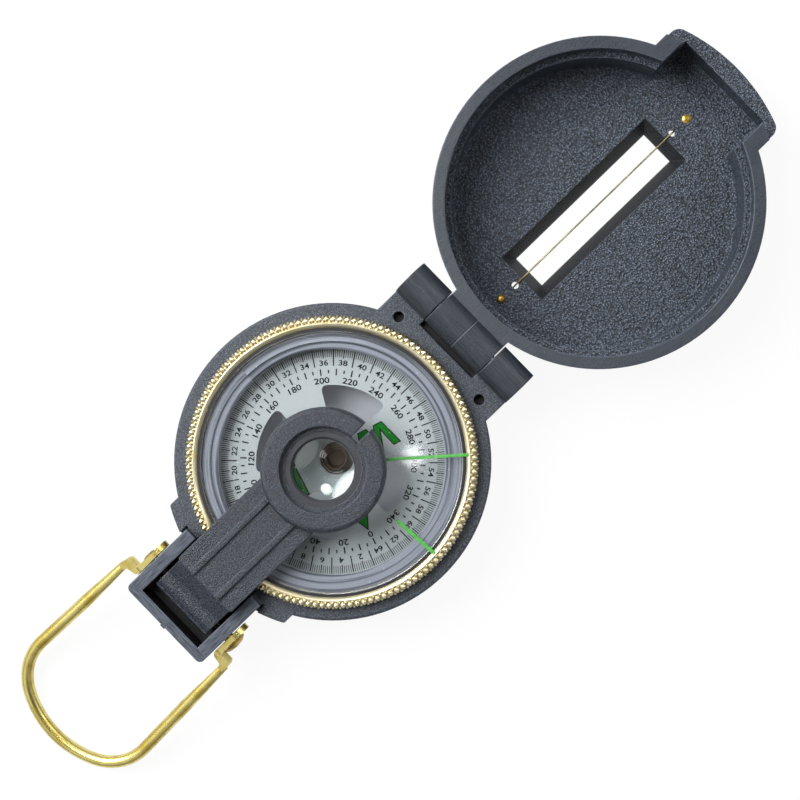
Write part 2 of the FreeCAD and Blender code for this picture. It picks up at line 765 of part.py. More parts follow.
def make_wire_pins():
    """Brass pins that pinch the two ends of the sight wire in the lid."""
    for name, y, top in (("wire_pin_rear", "-wire_pin_y", "0.55"),
                         ("wire_pin_front", "wire_pin_y", "0.3")):
        pin = turned_part(name, [
            ("0", "0.15"),
            ("wire_pin_radius", "0.15"),
            ("wire_pin_radius", f"lid_floor_z + {top} * 0.3"),
            ("0.45", f"lid_floor_z + {top} * 0.9"),
            ("0", f"lid_floor_z + {top}"),
        ])
        bind(pin, "Placement.Base.y", f"lid_y + {y}".replace("+ -", "- "))
    doc.recompute()


def make_pins():
    """Hinge pin of the lid, and the headed pivot pin of the arm and the loop."""
    pin = new_body("lid_hinge_pin")
    section = sketch_on(pin, "hinge_pin_section", "YZ_Plane")
    draw_circle(section, "hinge_y", "hinge_z", "hinge_pin_radius")
    pad(pin, section, "2 * tab_half_width - 0.6", symmetric=True)
    rivet = new_body("pivot_pin")
    half = sketch_on(rivet, "pivot_pin_section", "XY_Plane")
    head = "eye_inner_x + eye_thick + 0.1"
    draw_outline(half, [
        ("-eye_inner_x - eye_thick - 0.35", "0"),
        ("-eye_inner_x - eye_thick - 0.35", "0.9"),
        ("-eye_inner_x - eye_thick - 0.1", "1.35"),
        ("-eye_inner_x - eye_thick - 0.1", "pivot_pin_radius"),
        (head, "pivot_pin_radius"),
        (head, "2.3"),
        (f"{head} + 0.35", "2.15"),
        (f"{head} + 0.8", "1.4"),
        (f"{head} + 1.0", "0"),
    ])
    turn = rivet.newObject("PartDesign::Revolution", "pivot_pin_turned")
    turn.Profile = half
    turn.ReferenceAxis = (half, ["H_Axis"])
    turn.Angle = 360
    bind(rivet, "Placement.Base.y", "pivot_y")
    bind(rivet, "Placement.Base.z", "pivot_z")
    doc.recompute()
    return rivet


def make_sight_arm():
    """Arm plate with two ribs, a notched lens head and a pivot root."""
    body = new_body("sight_arm")
    plate = sketch_on(body, "arm_plate", "XY_Plane", "arm_bottom")
    draw_outline(plate, box_corners("-arm_half_width", "arm_half_width", "arm_end_y", "head_y - 6"))
    pad(body, plate, "arm_top - arm_bottom")
    round_edges(body, 0.7, corner_edge("arm_half_width", "arm_end_y"), "plate_rounding")
    head = sketch_on(body, "arm_head", "XY_Plane", "arm_bottom")
    draw_circle(head, "0", "head_y", "head_radius")
    pad(body, head, "head_top - arm_bottom")
    round_edges(body, 0.8, ring_edge("head_radius", "head_top"), "head_rounding")
    ribs = sketch_on(body, "arm_ribs", "XY_Plane", "arm_top - 0.2")
    for centre in ("-rib_x", "rib_x"):
        draw_outline(ribs, box_corners(f"{centre} - rib_half_width", f"{centre} + rib_half_width",
                                       "arm_end_y + 0.1", "rib_start_y + 2"))
    pad(body, ribs, "rib_height + 0.2")
    root = sketch_on(body, "arm_root", "YZ_Plane")
    draw_outline(root, [
        ("pivot_y - root_radius", "pivot_z"),
        ("pivot_y + root_radius", "pivot_z"),
        ("pivot_y + 7.4", "arm_bottom - 0.3"),
        ("pivot_y + 7.4", "arm_bottom + 0.5"),
        ("arm_end_y", "arm_top - 1.2"),
        ("pivot_y + 1.2", "pivot_z + 3.0"),
        ("pivot_y - root_radius + 0.5", "pivot_z + 1.9"),
    ])
    pad(body, root, "2 * root_half_width", symmetric=True)
    barrel = sketch_on(body, "arm_barrel", "YZ_Plane")
    draw_circle(barrel, "pivot_y", "pivot_z", "root_radius")
    pad(body, barrel, "2 * root_half_width", symmetric=True)
    bore = sketch_on(body, "arm_bore", "YZ_Plane")
    draw_circle(bore, "pivot_y", "pivot_z", "pivot_pin_radius + running_gap")
    pocket(body, bore, "through", symmetric=True)
    sink = sketch_on(body, "lens_sink", "XY_Plane", "lens_ring_top")
    draw_circle(sink, "0", "head_y", "sink_radius")
    pocket(body, sink, "through", upward=True)
    seat = sketch_on(body, "lens_seat", "XY_Plane", "lens_seat_z")
    draw_circle(seat, "0", "head_y", "lens_radius")
    pocket(body, seat, "through", upward=True)
    opening = sketch_on(body, "lens_hole", "XY_Plane", "arm_bottom")
    draw_circle(opening, "0", "head_y", "lens_opening")
    pocket(body, opening, "through", upward=True)
    notch = sketch_on(body, "sight_notch", "XY_Plane", "arm_bottom")
    draw_outline(notch, box_corners("-notch_half_width", "notch_half_width",
                                    "notch_end_y", "head_y + head_radius + 2"))
    pocket(body, notch, "through", upward=True)
    return body


def make_lens():
    """Biconvex lens and the ring that keeps it on its seat."""
    clear = "(lens_opening - 0.1)"
    curve = f"({clear} * {clear} / (2 * lens_bulge) + lens_bulge / 2)"
    under = f"lens_seat_z - lens_bulge + {curve}"
    over = f"lens_seat_z + lens_edge + lens_bulge - {curve}"
    turned_lens = turned_part("sight_lens", [
        ("0", "lens_seat_z - lens_bulge"),
        (clear, "lens_seat_z", ("0", under)),
        ("lens_radius", "lens_seat_z"),
        ("lens_radius", "lens_seat_z + lens_edge"),
        (clear, "lens_seat_z + lens_edge"),
        ("0", "lens_seat_z + lens_edge + lens_bulge", ("0", over)),
    ])
    bind(turned_lens, "Placement.Base.y", "head_y")
    ring = turned_part("lens_ring", [
        ("lens_opening", "lens_seat_z + lens_edge"),
        ("lens_radius", "lens_seat_z + lens_edge"),
        ("lens_radius", "lens_ring_top"),
        ("lens_opening + 0.35", "lens_ring_top"),
        ("lens_opening", "lens_ring_top - 0.35"),
    ])
    bind(ring, "Placement.Base.y", "head_y")
    doc.recompute()


def bow_path(sketch):
    """Open spine of the bow: leg, corner arc, crown arc, corner arc, leg."""
    corner_radius = number("bow_corner_radius")
    crown_radius = number("bow_crown_radius")
    crown_centre = Vector(0, -number("loop_reach") + crown_radius, 0)
    corner_x = number("bow_half_width - bow_corner_radius")
    drop = math.sqrt((crown_radius - corner_radius) ** 2 - corner_x ** 2)
    corner_centre = Vector(corner_x, crown_centre.y - drop, 0)
    start = Vector(number("leg_x"), number("0.4 - leg_start"), 0)
    away = start - corner_centre
    lean = math.asin(corner_radius / away.Length)
    tangent_angle = math.atan2(away.y, away.x) - (math.pi / 2 - lean)
    crown_angle = math.atan2(corner_centre.y - crown_centre.y, corner_centre.x)
    touch = corner_centre + corner_radius * Vector(math.cos(tangent_angle), math.sin(tangent_angle), 0)
    mirror_start = Vector(-start.x, start.y, 0)
    mirror_touch = Vector(-touch.x, touch.y, 0)
    mirror_centre = Vector(-corner_centre.x, corner_centre.y, 0)
    up = Vector(0, 0, 1)
    sketch.addGeometry(Part.LineSegment(start, touch))
    corner = Part.Circle(corner_centre, up, corner_radius)
    sketch.addGeometry(Part.ArcOfCircle(corner, crown_angle, tangent_angle))
    crown = Part.Circle(crown_centre, up, crown_radius)
    sketch.addGeometry(Part.ArcOfCircle(crown, -math.pi - crown_angle, crown_angle))
    corner = Part.Circle(mirror_centre, up, corner_radius)
    sketch.addGeometry(Part.ArcOfCircle(corner, math.pi - tangent_angle, math.pi - crown_angle))
    sketch.addGeometry(Part.LineSegment(mirror_touch, mirror_start))
    joins = ((0, 2, 1, 2), (1, 1, 2, 2), (2, 1, 3, 2), (3, 1, 4, 1))
    for first, first_end, second, second_end in joins:
        sketch.addConstraint(Sketcher.Constraint("Tangent", first, first_end, second, second_end))
    pin_down(sketch, "DistanceX", 0, 1, "leg_x")
    pin_down(sketch, "DistanceY", 0, 1, "0.4 - leg_start")
    pin_down(sketch, "DistanceX", 4, 2, "-leg_x")
    pin_down(sketch, "DistanceY", 4, 2, "0.4 - leg_start")
    pin_down(sketch, "DistanceX", 2, 3, "0")
    pin_down(sketch, "DistanceY", 2, 3, "bow_crown_radius - loop_reach")
    for geometry, radius in ((1, "bow_corner_radius"), (2, "bow_crown_radius"), (3, "bow_corner_radius")):
        index = sketch.addConstraint(Sketcher.Constraint("Radius", geometry, number(radius)))
        bind(sketch, f"Constraints[{index}]", radius)
    pin_down(sketch, "DistanceX", 1, 3, "bow_half_width - bow_corner_radius")
    pin_down(sketch, "DistanceX", 3, 3, "bow_corner_radius - bow_half_width")


def make_thumb_loop():
    """Wire loop in its own frame: pivot on the X axis, bow reaching to -Y."""
    body = new_body("thumb_loop")
    spine = sketch_on(body, "bow_spine", "XY_Plane")
    bow_path(spine)
    section = sketch_on(body, "bow_section", "XZ_Plane", "leg_start - 0.4")
    draw_circle(section, "leg_x", "0", "loop_wire_radius")
    bow = body.newObject("PartDesign::AdditivePipe", "bow")
    bow.Profile = section
    bow.Spine = spine
    doc.recompute()

    presses = sketch_on(body, "leg_presses", "XY_Plane", "-2")
    pressed = [
        [("leg_x + eye_thick / 2", "0"), ("leg_x + 4", "0"), ("leg_x + 4", "-leg_round"),
         ("leg_round_x + loop_wire_radius", "-leg_round")],
        [("leg_x - eye_thick / 2", "0"), ("leg_round_x - loop_wire_radius", "-leg_round"),
         ("leg_x - 4", "-leg_round"), ("leg_x - 4", "0")],
    ]
    for corners in pressed:
        draw_outline(presses, corners)
        draw_outline(presses, [(f"-({x})", y) for x, y in corners])
    pocket(body, presses, "through", upward=True)

    step = sketch_on(body, "leg_step", "XY_Plane")
    draw_outline(step, [
        ("eye_inner_x", "-1.6"),
        ("eye_inner_x + eye_thick", "-1.6"),
        ("eye_inner_x + eye_thick", "-2.6"),
        ("eye_inner_x + eye_thick + 0.3", "-2.8"),
        ("leg_x + 0.1", "-2.8"),
        ("leg_x + 0.5", "-3.3"),
        ("leg_x + 0.5", "-leg_start"),
        ("leg_x - 0.5", "-leg_start"),
        ("leg_x - 0.8", "-4.3"),
        ("eye_inner_x + 0.5", "-4.0"),
        ("eye_inner_x", "-3.5"),
    ])
    bend = pad(body, step, "loop_wire_radius * 2", symmetric=True)
    oval = sketch_on(body, "eye_oval", "YZ_Plane", "eye_inner_x")
    straight = "eye_half_length - eye_half_height"
    draw_outline(oval, [
        (f"-({straight})", "-eye_half_height", (f"-({straight})", "0")),
        (straight, "-eye_half_height"),
        (straight, "eye_half_height", (straight, "0")),
        (f"-({straight})", "eye_half_height"),
    ])
    eye = pad(body, oval, "eye_thick")
    mirror = body.newObject("PartDesign::Mirrored", "far_side")
    mirror.Originals = [bend, eye]
    mirror.MirrorPlane = (spine, ["V_Axis"])
    body.Tip = mirror
    doc.recompute()
    bore = sketch_on(body, "eye_bore", "YZ_Plane")
    draw_circle(bore, "0", "0", "pivot_pin_radius + running_gap")
    pocket(body, bore, "through", symmetric=True)
    bind(body, "Placement.Base.y", "pivot_y")
    bind(body, "Placement.Base.z", "pivot_z")
    body.Placement = Placement(body.Placement.Base, Rotation(Vector(1, 0, 0), 1))
    bind(body, "Placement.Rotation.Angle", "loop_droop")
    doc.recompute()
    return body


def sub_parts():
    """Every finished sub-part of the document."""
    return [thing for thing in doc.Objects if thing.TypeId == "PartDesign::Body"]


def check_document(parts):
    for thing in doc.Objects:
        if "Invalid" in thing.State or "Error" in thing.State:
            raise RuntimeError(f"{thing.Name} failed: {thing.State}")
    for part in parts:
        shape = part.Shape
        if shape.isNull() or not shape.isValid() or len(shape.Solids) != 1:
            raise RuntimeError(f"{part.Label} is not one valid solid")


make_case_body()
make_capsule()
make_dial_card()
make_dial_fittings()
make_bezel_ring()
make_bezel_fittings()
make_lid_shell()
make_sight_wire()
make_wire_pins()
make_pins()
make_sight_arm()
make_lens()
make_thumb_loop()
doc.recompute()

finished = sub_parts()
check_document(finished)
os.makedirs("parts", exist_ok=True)
for part in finished:
    part.Shape.exportStep(f"parts/{part.Label}.step")
    box = part.Shape.BoundBox
    print(f"{part.Label:22s} {part.Shape.Volume:9.2f} mm3  x {box.XMin:.2f} {box.XMax:.2f}  "
          f"y {box.YMin:.2f} {box.YMax:.2f}  z {box.ZMin:.2f} {box.ZMax:.2f}")
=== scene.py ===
# %% [markdown]
# # A sighting compass, lit and finished
# This lesson dresses a folding compass that already exists as solid parts: a
# case, a lid, a lens arm, a knurled bezel, a floating dial and a thumb loop.
# The solids are a fixed frame. Each cell below adds one piece or one finish.

# %% Load the frame
import math

import bmesh
import bpy
import numpy as np
from mathutils import Matrix, Vector


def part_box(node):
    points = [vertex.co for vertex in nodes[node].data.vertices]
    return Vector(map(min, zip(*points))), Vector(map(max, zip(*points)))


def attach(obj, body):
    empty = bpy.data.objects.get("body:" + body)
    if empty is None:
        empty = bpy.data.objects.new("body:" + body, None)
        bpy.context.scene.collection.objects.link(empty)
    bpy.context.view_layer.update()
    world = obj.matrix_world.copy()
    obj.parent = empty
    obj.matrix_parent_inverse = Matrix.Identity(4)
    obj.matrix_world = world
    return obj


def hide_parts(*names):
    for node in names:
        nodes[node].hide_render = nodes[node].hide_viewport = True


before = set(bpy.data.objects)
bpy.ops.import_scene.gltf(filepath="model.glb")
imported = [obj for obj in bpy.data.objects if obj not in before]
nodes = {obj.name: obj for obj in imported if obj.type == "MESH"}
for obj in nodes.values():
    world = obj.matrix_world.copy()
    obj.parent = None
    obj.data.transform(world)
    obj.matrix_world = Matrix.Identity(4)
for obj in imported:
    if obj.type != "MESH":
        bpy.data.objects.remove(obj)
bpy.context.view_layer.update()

# %% [markdown]
# ## Units and colours
# A scene is in metres and in light, not in display colours. Sizes here are
# written in millimetres times MM. Colours are written as they should look, on
# the usual 0 to 255 scale, and tint() turns them into amounts of light.

# %% Units and colours
MM = 0.001


def tint(red, green, blue):
    """A display colour, each part 0 to 255, as linear light with full cover."""
    parts = [part / 255 for part in (red, green, blue)]
    light = [p / 12.92 if p <= 0.04045 else ((p + 0.055) / 1.055) ** 2.4 for p in parts]
    return (*light, 1.0)


print("a mid grey is", round(tint(128, 128, 128)[0], 3), "of full light")

# %% [markdown]
# ## Camera
# The compass lies open on a table and is seen from above, turned so that its
# long axis runs up to the right. A long lens about 0.3 m away keeps the
# perspective gentle. The camera is aimed with three directions: back
# along the line of sight, to the right, and up in the picture.

# %% Camera
EYE = Vector((4.5, 25.3, 318.1)) * MM
AIM = Vector((0.48, 15.85, 11.0)) * MM
TURN = 0.8002
LENS = 80.3

backward = (EYE - AIM).normalized()
picture_up = Vector((-math.sin(TURN), math.cos(TURN), 0))
rightward = picture_up.cross(backward).normalized()
upward = backward.cross(rightward)
camera_data = bpy.data.cameras.new("view_camera")
camera_data.lens = LENS
camera_data.clip_start = 1 * MM
camera_data.clip_end = 10
camera = bpy.data.objects.new("view_camera", camera_data)
camera.matrix_world = Matrix.Translation(EYE) @ Matrix(
    (rightward, upward, backward)).transposed().to_4x4()
bpy.context.scene.collection.objects.link(camera)
bpy.context.scene.camera = camera
bpy.context.scene.view_settings.view_transform = "Standard"
print("camera", round((EYE - AIM).length / MM), "mm from the compass")

# %% [markdown]
# ## Shader helpers
# A material is a small circuit of nodes. These helpers keep each one to a line:
# wire() adds a node and connects its inputs, maths() does arithmetic, and
# mix_colours() goes from one colour to another where a mask says so.

# %% Shader helpers
def wire(tree, kind, options=None, **feeds):
    """Adds a node. Feeds are numbers, colours or the outputs of other nodes."""
    node = tree.nodes.new("ShaderNode" + kind)
    for option, value in (options or {}).items():
        setattr(node, option, value)
    for label, source in feeds.items():
        plug(tree, node.inputs[label.replace("_", " ")], source)
    return node


def plug(tree, socket, source):
    """Connects an output to a socket, or sets the socket to a plain value."""
    if isinstance(source, bpy.types.NodeSocket):
        tree.links.new(source, socket)
    else:
        socket.default_value = source


def maths(tree, operation, *terms):
    """Arithmetic on numbers and outputs, such as MULTIPLY or GREATER_THAN."""
    node = tree.nodes.new("ShaderNodeMath")
    node.operation = operation
    for socket, term in zip(node.inputs, terms):
        plug(tree, socket, term)
    return node.outputs[0]


def mix_colours(tree, mask, first, second):
    """The first colour where the mask is 0 and the second where it is 1."""
    node = tree.nodes.new("ShaderNodeMix")
    node.data_type = "RGBA"
    for index, source in ((0, mask), (6, first), (7, second)):
        plug(tree, node.inputs[index], source)
    return node.outputs[2]


def ramp(tree, value, low, high, start=0.0, end=1.0):
    """Smoothly from start to end while the value goes from low to high."""
    node = wire(tree, "MapRange", {"interpolation_type": "SMOOTHSTEP"}, Value=value)
    for label, number in (("From Min", low), ("From Max", high),
                          ("To Min", start), ("To Max", end)):
        node.inputs[label].default_value = number
    return node.outputs["Result"]


def scaled(tone, share, lift=0.0):
    """A darker or paler version of a tone."""
    return tuple(share * part + lift for part in tone[:3]) + (1,)


def new_finish(name):
    """A material with its Principled shader ready to be fed."""
    material = bpy.data.materials.new(name)
    material.use_nodes = True
    tree = material.node_tree
    return material, tree, tree.nodes["Principled BSDF"]


print("shader helpers ready")

# %% [markdown]
# ## Table and light
# A pale table fills the background. The table is part lit surface and part
# plain white for the rays that come from the eye and through glass, so it reads
# as white but still keeps a soft shadow of the compass. The room has bright
# walls and a dark ceiling, so glass that faces straight up stays clear and
# sloping metal has something to reflect. One large soft lamp on the -X side
# makes the gentle shadows and a weaker one beyond the lid lightens them. Two
# small lamps light no matt surface. They are there for one glint each, on the
# crystal and in the lens.

# %% Table and room
TABLE_HALF = 1.6
TABLE_TOP = -0.05 * MM
IN_METAL = 0.6


def sees_background(tree):
    """1 for rays from the eye and through glass, less for rays off shiny surfaces."""
    path = wire(tree, "LightPath")
    shiny = maths(tree, "MULTIPLY", path.outputs["Is Glossy Ray"], IN_METAL)
    seen = maths(tree, "MAXIMUM", path.outputs["Is Camera Ray"], shiny)
    return maths(tree, "MAXIMUM", seen, path.outputs["Is Transmission Ray"])


table_mesh = bpy.data.meshes.new("table")
table_corners = [(x * TABLE_HALF, y * TABLE_HALF, TABLE_TOP)
                 for x, y in ((-1, -1), (1, -1), (1, 1), (-1, 1))]
table_mesh.from_pydata(table_corners, [], [(0, 1, 2, 3)])
table = bpy.data.objects.new("table", table_mesh)
bpy.context.scene.collection.objects.link(table)

table_finish, tree, shader = new_finish("table_white")
shader.inputs["Base Color"].default_value = tint(236, 237, 239)
shader.inputs["Roughness"].default_value = 0.9
glow = wire(tree, "Emission", Color=(1, 1, 1, 1), Strength=1.03)
whiteness = maths(tree, "MULTIPLY", sees_background(tree), 0.9)
blend = wire(tree, "MixShader")
tree.links.new(whiteness, blend.inputs[0])
tree.links.new(shader.outputs[0], blend.inputs[1])
tree.links.new(glow.outputs[0], blend.inputs[2])
tree.links.new(blend.outputs[0], tree.nodes["Material Output"].inputs["Surface"])
table_mesh.materials.append(table_finish)

ROOM_LIGHT = 0.30
CEILING = 0.05
FAR_SIDE = 0.45
world = bpy.data.worlds.new("studio")
world.use_nodes = True
bpy.context.scene.world = world
tree = world.node_tree
path = wire(tree, "LightPath")
way = wire(tree, "SeparateXYZ", Vector=wire(tree, "TexCoord").outputs["Generated"])
walls = ramp(tree, way.outputs["Z"], 0.05, 0.55, 0.25, 1.0)
ceiling = ramp(tree, way.outputs["Z"], 0.78, 0.93, 1.0, CEILING)
sides = ramp(tree, way.outputs["X"], -0.30, 0.60, 1.0, FAR_SIDE)
room = maths(tree, "MULTIPLY", maths(tree, "MULTIPLY", walls, ceiling), sides)
seen_in_gloss = maths(tree, "MAXIMUM", path.outputs["Is Glossy Ray"],
                      path.outputs["Is Transmission Ray"])
level = ramp(tree, seen_in_gloss, 0.0, 1.0, ROOM_LIGHT, 1.0)
strength = maths(tree, "MAXIMUM", maths(tree, "MULTIPLY", room, level),
                 path.outputs["Is Camera Ray"])
plug(tree, tree.nodes["Background"].inputs["Strength"], strength)
tree.nodes["Background"].inputs["Color"].default_value = (1, 1, 1, 1)
print("table", round(2 * TABLE_HALF, 1), "m wide, room light", ROOM_LIGHT)

# %% Lamps
def soft_lamp(name, place, width, watts, glints_only=False):
    """A round lamp that faces the compass. Glints show only on shiny surfaces."""
    data = bpy.data.lights.new(name, "AREA")
    data.shape = "DISK"
    data.size = width
    data.energy = watts
    lamp = bpy.data.objects.new(name, data)
    aim = Vector((0, 0.015, 0.01)) - Vector(place)
    lamp.location = place
    lamp.rotation_euler = aim.to_track_quat("-Z", "Y").to_euler()
    lamp.visible_diffuse = not glints_only
    bpy.context.scene.collection.objects.link(lamp)


soft_lamp("key_lamp", (-0.40, -0.09, 0.48), 0.54, 5.1)
soft_lamp("fill_lamp", (0.10, 0.46, 0.50), 0.36, 0.8)
soft_lamp("crystal_glint", (0.017, -0.016, 0.57), 0.010, 0.0014, glints_only=True)
soft_lamp("lens_glint", (-0.135, 0.065, 0.57), 0.085, 0.2, glints_only=True)
print("four soft lamps")

# %% [markdown]
# ## Surface effects
# Five effects turn up on more than one material, so each is a node group with
# its own knobs: the pebbled skin of moulded plastic, edges that are worn and
# catch a highlight, straight brushed lines, rings left by a lathe, and dust.
# Each takes its position from the part itself, so it stays put when the part moves.

# %% Effect groups: builder
def effect(name, inputs, outputs):
    """A new node group, with its input and output nodes."""
    group = bpy.data.node_groups.new(name, "ShaderNodeTree")
    for label, kind, value in inputs:
        socket = group.interface.new_socket(label, in_out="INPUT", socket_type=kind)
        socket.default_value = value
    for label in outputs:
        kind = "NodeSocketVector" if label == "Normal" else "NodeSocketFloat"
        group.interface.new_socket(label, in_out="OUTPUT", socket_type=kind)
    return group, group.nodes.new("NodeGroupInput"), group.nodes.new("NodeGroupOutput")


def use_effect(tree, group, **knobs):
    """Places an effect in a material with its own values."""
    node = tree.nodes.new("ShaderNodeGroup")
    node.node_tree = group
    for label, source in knobs.items():
        plug(tree, node.inputs[label.replace("_", " ")], source)
    return node


FLOAT = "NodeSocketFloat"
print("effect builder ready")

# %% Effect: moulded grain
# Pebbles are the cells of a Voronoi pattern: highest in the middle, with creases
# where they meet. Finer noise roughens them. Tips marks the tops.
moulded_grain, ins, outs = effect(
    "moulded_grain", [("Pebble Size", FLOAT, 0.5 * MM)], ["Height", "Tips", "Creases"])
where = wire(moulded_grain, "TexCoord").outputs["Object"]
pitch = maths(moulded_grain, "DIVIDE", 1.0, ins.outputs["Pebble Size"])
cells = wire(moulded_grain, "TexVoronoi", Vector=where, Scale=pitch)
finer = maths(moulded_grain, "MULTIPLY", pitch, 2.6)
crumb = wire(moulded_grain, "TexNoise", Vector=where, Scale=finer, Detail=1.0)
away = maths(moulded_grain, "ADD", cells.outputs["Distance"],
             maths(moulded_grain, "MULTIPLY", crumb.outputs["Fac"], 0.5))
plug(moulded_grain, outs.inputs["Height"], maths(moulded_grain, "SUBTRACT", 1.0, away))
plug(moulded_grain, outs.inputs["Tips"], ramp(moulded_grain, away, 0.64, 0.48))
plug(moulded_grain, outs.inputs["Creases"], ramp(moulded_grain, away, 0.86, 1.06))
print(moulded_grain.name, "done")

# %% Effect: worn and highlit edges
# A bevelled normal differs from the true one only near an edge. The angle
# between them, broken up by noise, is where hands have polished the part and
# where edges catch a highlight, which the plastic paints paler. The
# bevelled normal is given out too, so that edges catch the light as round ones.
edges_worn_and_highlit, ins, outs = effect("edges_worn_and_highlit", [("Width", FLOAT, 0.3 * MM)],
                               ["Mask", "Normal"])
rounded = wire(edges_worn_and_highlit, "Bevel", {"samples": 6}, Radius=ins.outputs["Width"])
true_normal = wire(edges_worn_and_highlit, "NewGeometry").outputs["Normal"]
angle = wire(edges_worn_and_highlit, "VectorMath", {"operation": "DOT_PRODUCT"})
edges_worn_and_highlit.links.new(rounded.outputs["Normal"], angle.inputs[0])
edges_worn_and_highlit.links.new(true_normal, angle.inputs[1])
turned = maths(edges_worn_and_highlit, "SUBTRACT", 1.0, angle.outputs["Value"])
patches = wire(edges_worn_and_highlit, "TexNoise", Vector=wire(edges_worn_and_highlit, "TexCoord").outputs["Object"],
               Scale=420.0, Detail=3.0)
rubbed = maths(edges_worn_and_highlit, "MULTIPLY", ramp(edges_worn_and_highlit, turned, 0.02, 0.22),
               ramp(edges_worn_and_highlit, patches.outputs["Fac"], 0.28, 0.52))
plug(edges_worn_and_highlit, outs.inputs["Mask"], rubbed)
plug(edges_worn_and_highlit, outs.inputs["Normal"], rounded.outputs["Normal"])
print(edges_worn_and_highlit.name, "done")

# %% Effect: brushed lines
# Noise stretched a hundredfold along one direction.
brushed_lines, ins, outs = effect(
    "brushed_lines", [("Stretch", "NodeSocketVector", (9000, 120, 9000))], ["Lines"])
stretched = wire(brushed_lines, "VectorMath", {"operation": "MULTIPLY"})
brushed_lines.links.new(wire(brushed_lines, "TexCoord").outputs["Object"],
                        stretched.inputs[0])
brushed_lines.links.new(ins.outputs["Stretch"], stretched.inputs[1])
streaks = wire(brushed_lines, "TexNoise", Vector=stretched.outputs["Vector"],
               Scale=1.0, Detail=3.0, Roughness=0.6)
plug(brushed_lines, outs.inputs["Lines"], streaks.outputs["Fac"])
print(brushed_lines.name, "done")

# %% Effect: lathe rings
# The same streaks, but bent round the dial's axis: they depend on the radius
# and the height and hardly at all on the direction.
lathe_rings, ins, outs = effect("lathe_rings", [("Spacing", FLOAT, 0.12 * MM)], ["Lines"])
spot = wire(lathe_rings, "SeparateXYZ",
            Vector=wire(lathe_rings, "TexCoord").outputs["Object"])
squares = maths(lathe_rings, "ADD",
                maths(lathe_rings, "MULTIPLY", spot.outputs["X"], spot.outputs["X"]),
                maths(lathe_rings, "MULTIPLY", spot.outputs["Y"], spot.outputs["Y"]))
radius = maths(lathe_rings, "SQRT", squares)
direction = maths(lathe_rings, "ARCTAN2", spot.outputs["Y"], spot.outputs["X"])
rings = wire(lathe_rings, "CombineXYZ",
             X=maths(lathe_rings, "DIVIDE", radius, ins.outputs["Spacing"]),
             Y=maths(lathe_rings, "MULTIPLY", direction, 0.7),
             Z=maths(lathe_rings, "DIVIDE", spot.outputs["Z"], ins.outputs["Spacing"]))
turnings = wire(lathe_rings, "TexNoise", Vector=rings.outputs[0], Scale=1.0, Detail=2.0)
plug(lathe_rings, outs.inputs["Lines"], turnings.outputs["Fac"])
print(lathe_rings.name, "done")

# %% Effect: dust
# Sparse specks: only the centre of every cell, and only in some cells.
dust, ins, outs = effect(
    "dust", [("Speck Size", FLOAT, 0.5 * MM), ("Amount", FLOAT, 0.3)], ["Mask"])
where = wire(dust, "TexCoord").outputs["Object"]
density = maths(dust, "DIVIDE", 1.0, ins.outputs["Speck Size"])
cells = wire(dust, "TexVoronoi", Vector=where, Scale=density)
centre = ramp(dust, cells.outputs["Distance"], 0.16, 0.05)
chosen = wire(dust, "SeparateColor", Color=cells.outputs["Color"])
present = maths(dust, "LESS_THAN", chosen.outputs["Red"], ins.outputs["Amount"])
plug(dust, outs.inputs["Mask"], maths(dust, "MULTIPLY", centre, present))
print(dust.name, "done")

# %% [markdown]
# ## Moulded plastic
# Case, lid and arm are moulded in the same dark grey plastic. Its tool was
# spark eroded, so the skin is pebbled; the tips are painted paler as highlight
# and the creases darker as shade. The hinge barrels, the lid's rim and the
# bracket's top come from ground steel and are smooth, with fine drawn lines,
# and the barrels' parting line has a painted highlight beside it. Edges are
# painted paler, for wear and for the highlight they catch, and wells, gaps and
# bevels are painted dark as shade. One function makes the finish, and each
# part sets its own pebble and says where it is smooth.

# %% Where the mould was smooth
HINGE_Y, HINGE_Z = 31.8 * MM, 12.5 * MM
BARREL_RADIUS = 3.46 * MM


def near_hinge(tree, spot):
    """1 within the radius of the hinge barrels."""
    across = maths(tree, "SUBTRACT", spot.outputs["Y"], HINGE_Y)
    above = maths(tree, "SUBTRACT", spot.outputs["Z"], HINGE_Z)
    distance = maths(tree, "SQRT", maths(tree, "ADD", maths(tree, "MULTIPLY", across, across),
                                         maths(tree, "MULTIPLY", above, above)))
    return maths(tree, "LESS_THAN", distance, BARREL_RADIUS)


def facing_up(tree, spot, lowest):
    """1 on level surfaces above a height."""
    normal = wire(tree, "TexCoord").outputs["Normal"]
    level = maths(tree, "GREATER_THAN", wire(tree, "SeparateXYZ", Vector=normal).outputs["Z"], 0.95)
    high = maths(tree, "GREATER_THAN", spot.outputs["Z"], lowest)
    return maths(tree, "MULTIPLY", level, high)


def part_of(tree, mask, socket, low, high):
    """Keeps a mask only where a coordinate lies between two values."""
    above = maths(tree, "GREATER_THAN", socket, low)
    below = maths(tree, "LESS_THAN", socket, high)
    return maths(tree, "MULTIPLY", mask, maths(tree, "MULTIPLY", above, below))


def inside_box(tree, spot, low, high):
    """1 inside a box given by two corners in millimetres."""
    mask = 1.0
    for axis, below, above in zip("XYZ", low, high):
        mask = part_of(tree, mask, spot.outputs[axis], below * MM, above * MM)
    return mask


print("smooth zones ready")

# %% Plastic finish
BLACK = (0.003, 0.003, 0.003, 1)
SEAM_EDGE, SEAM_MIDDLE = 0.14 * MM, 0.02 * MM
NO_CROSS_LINES = -1.0


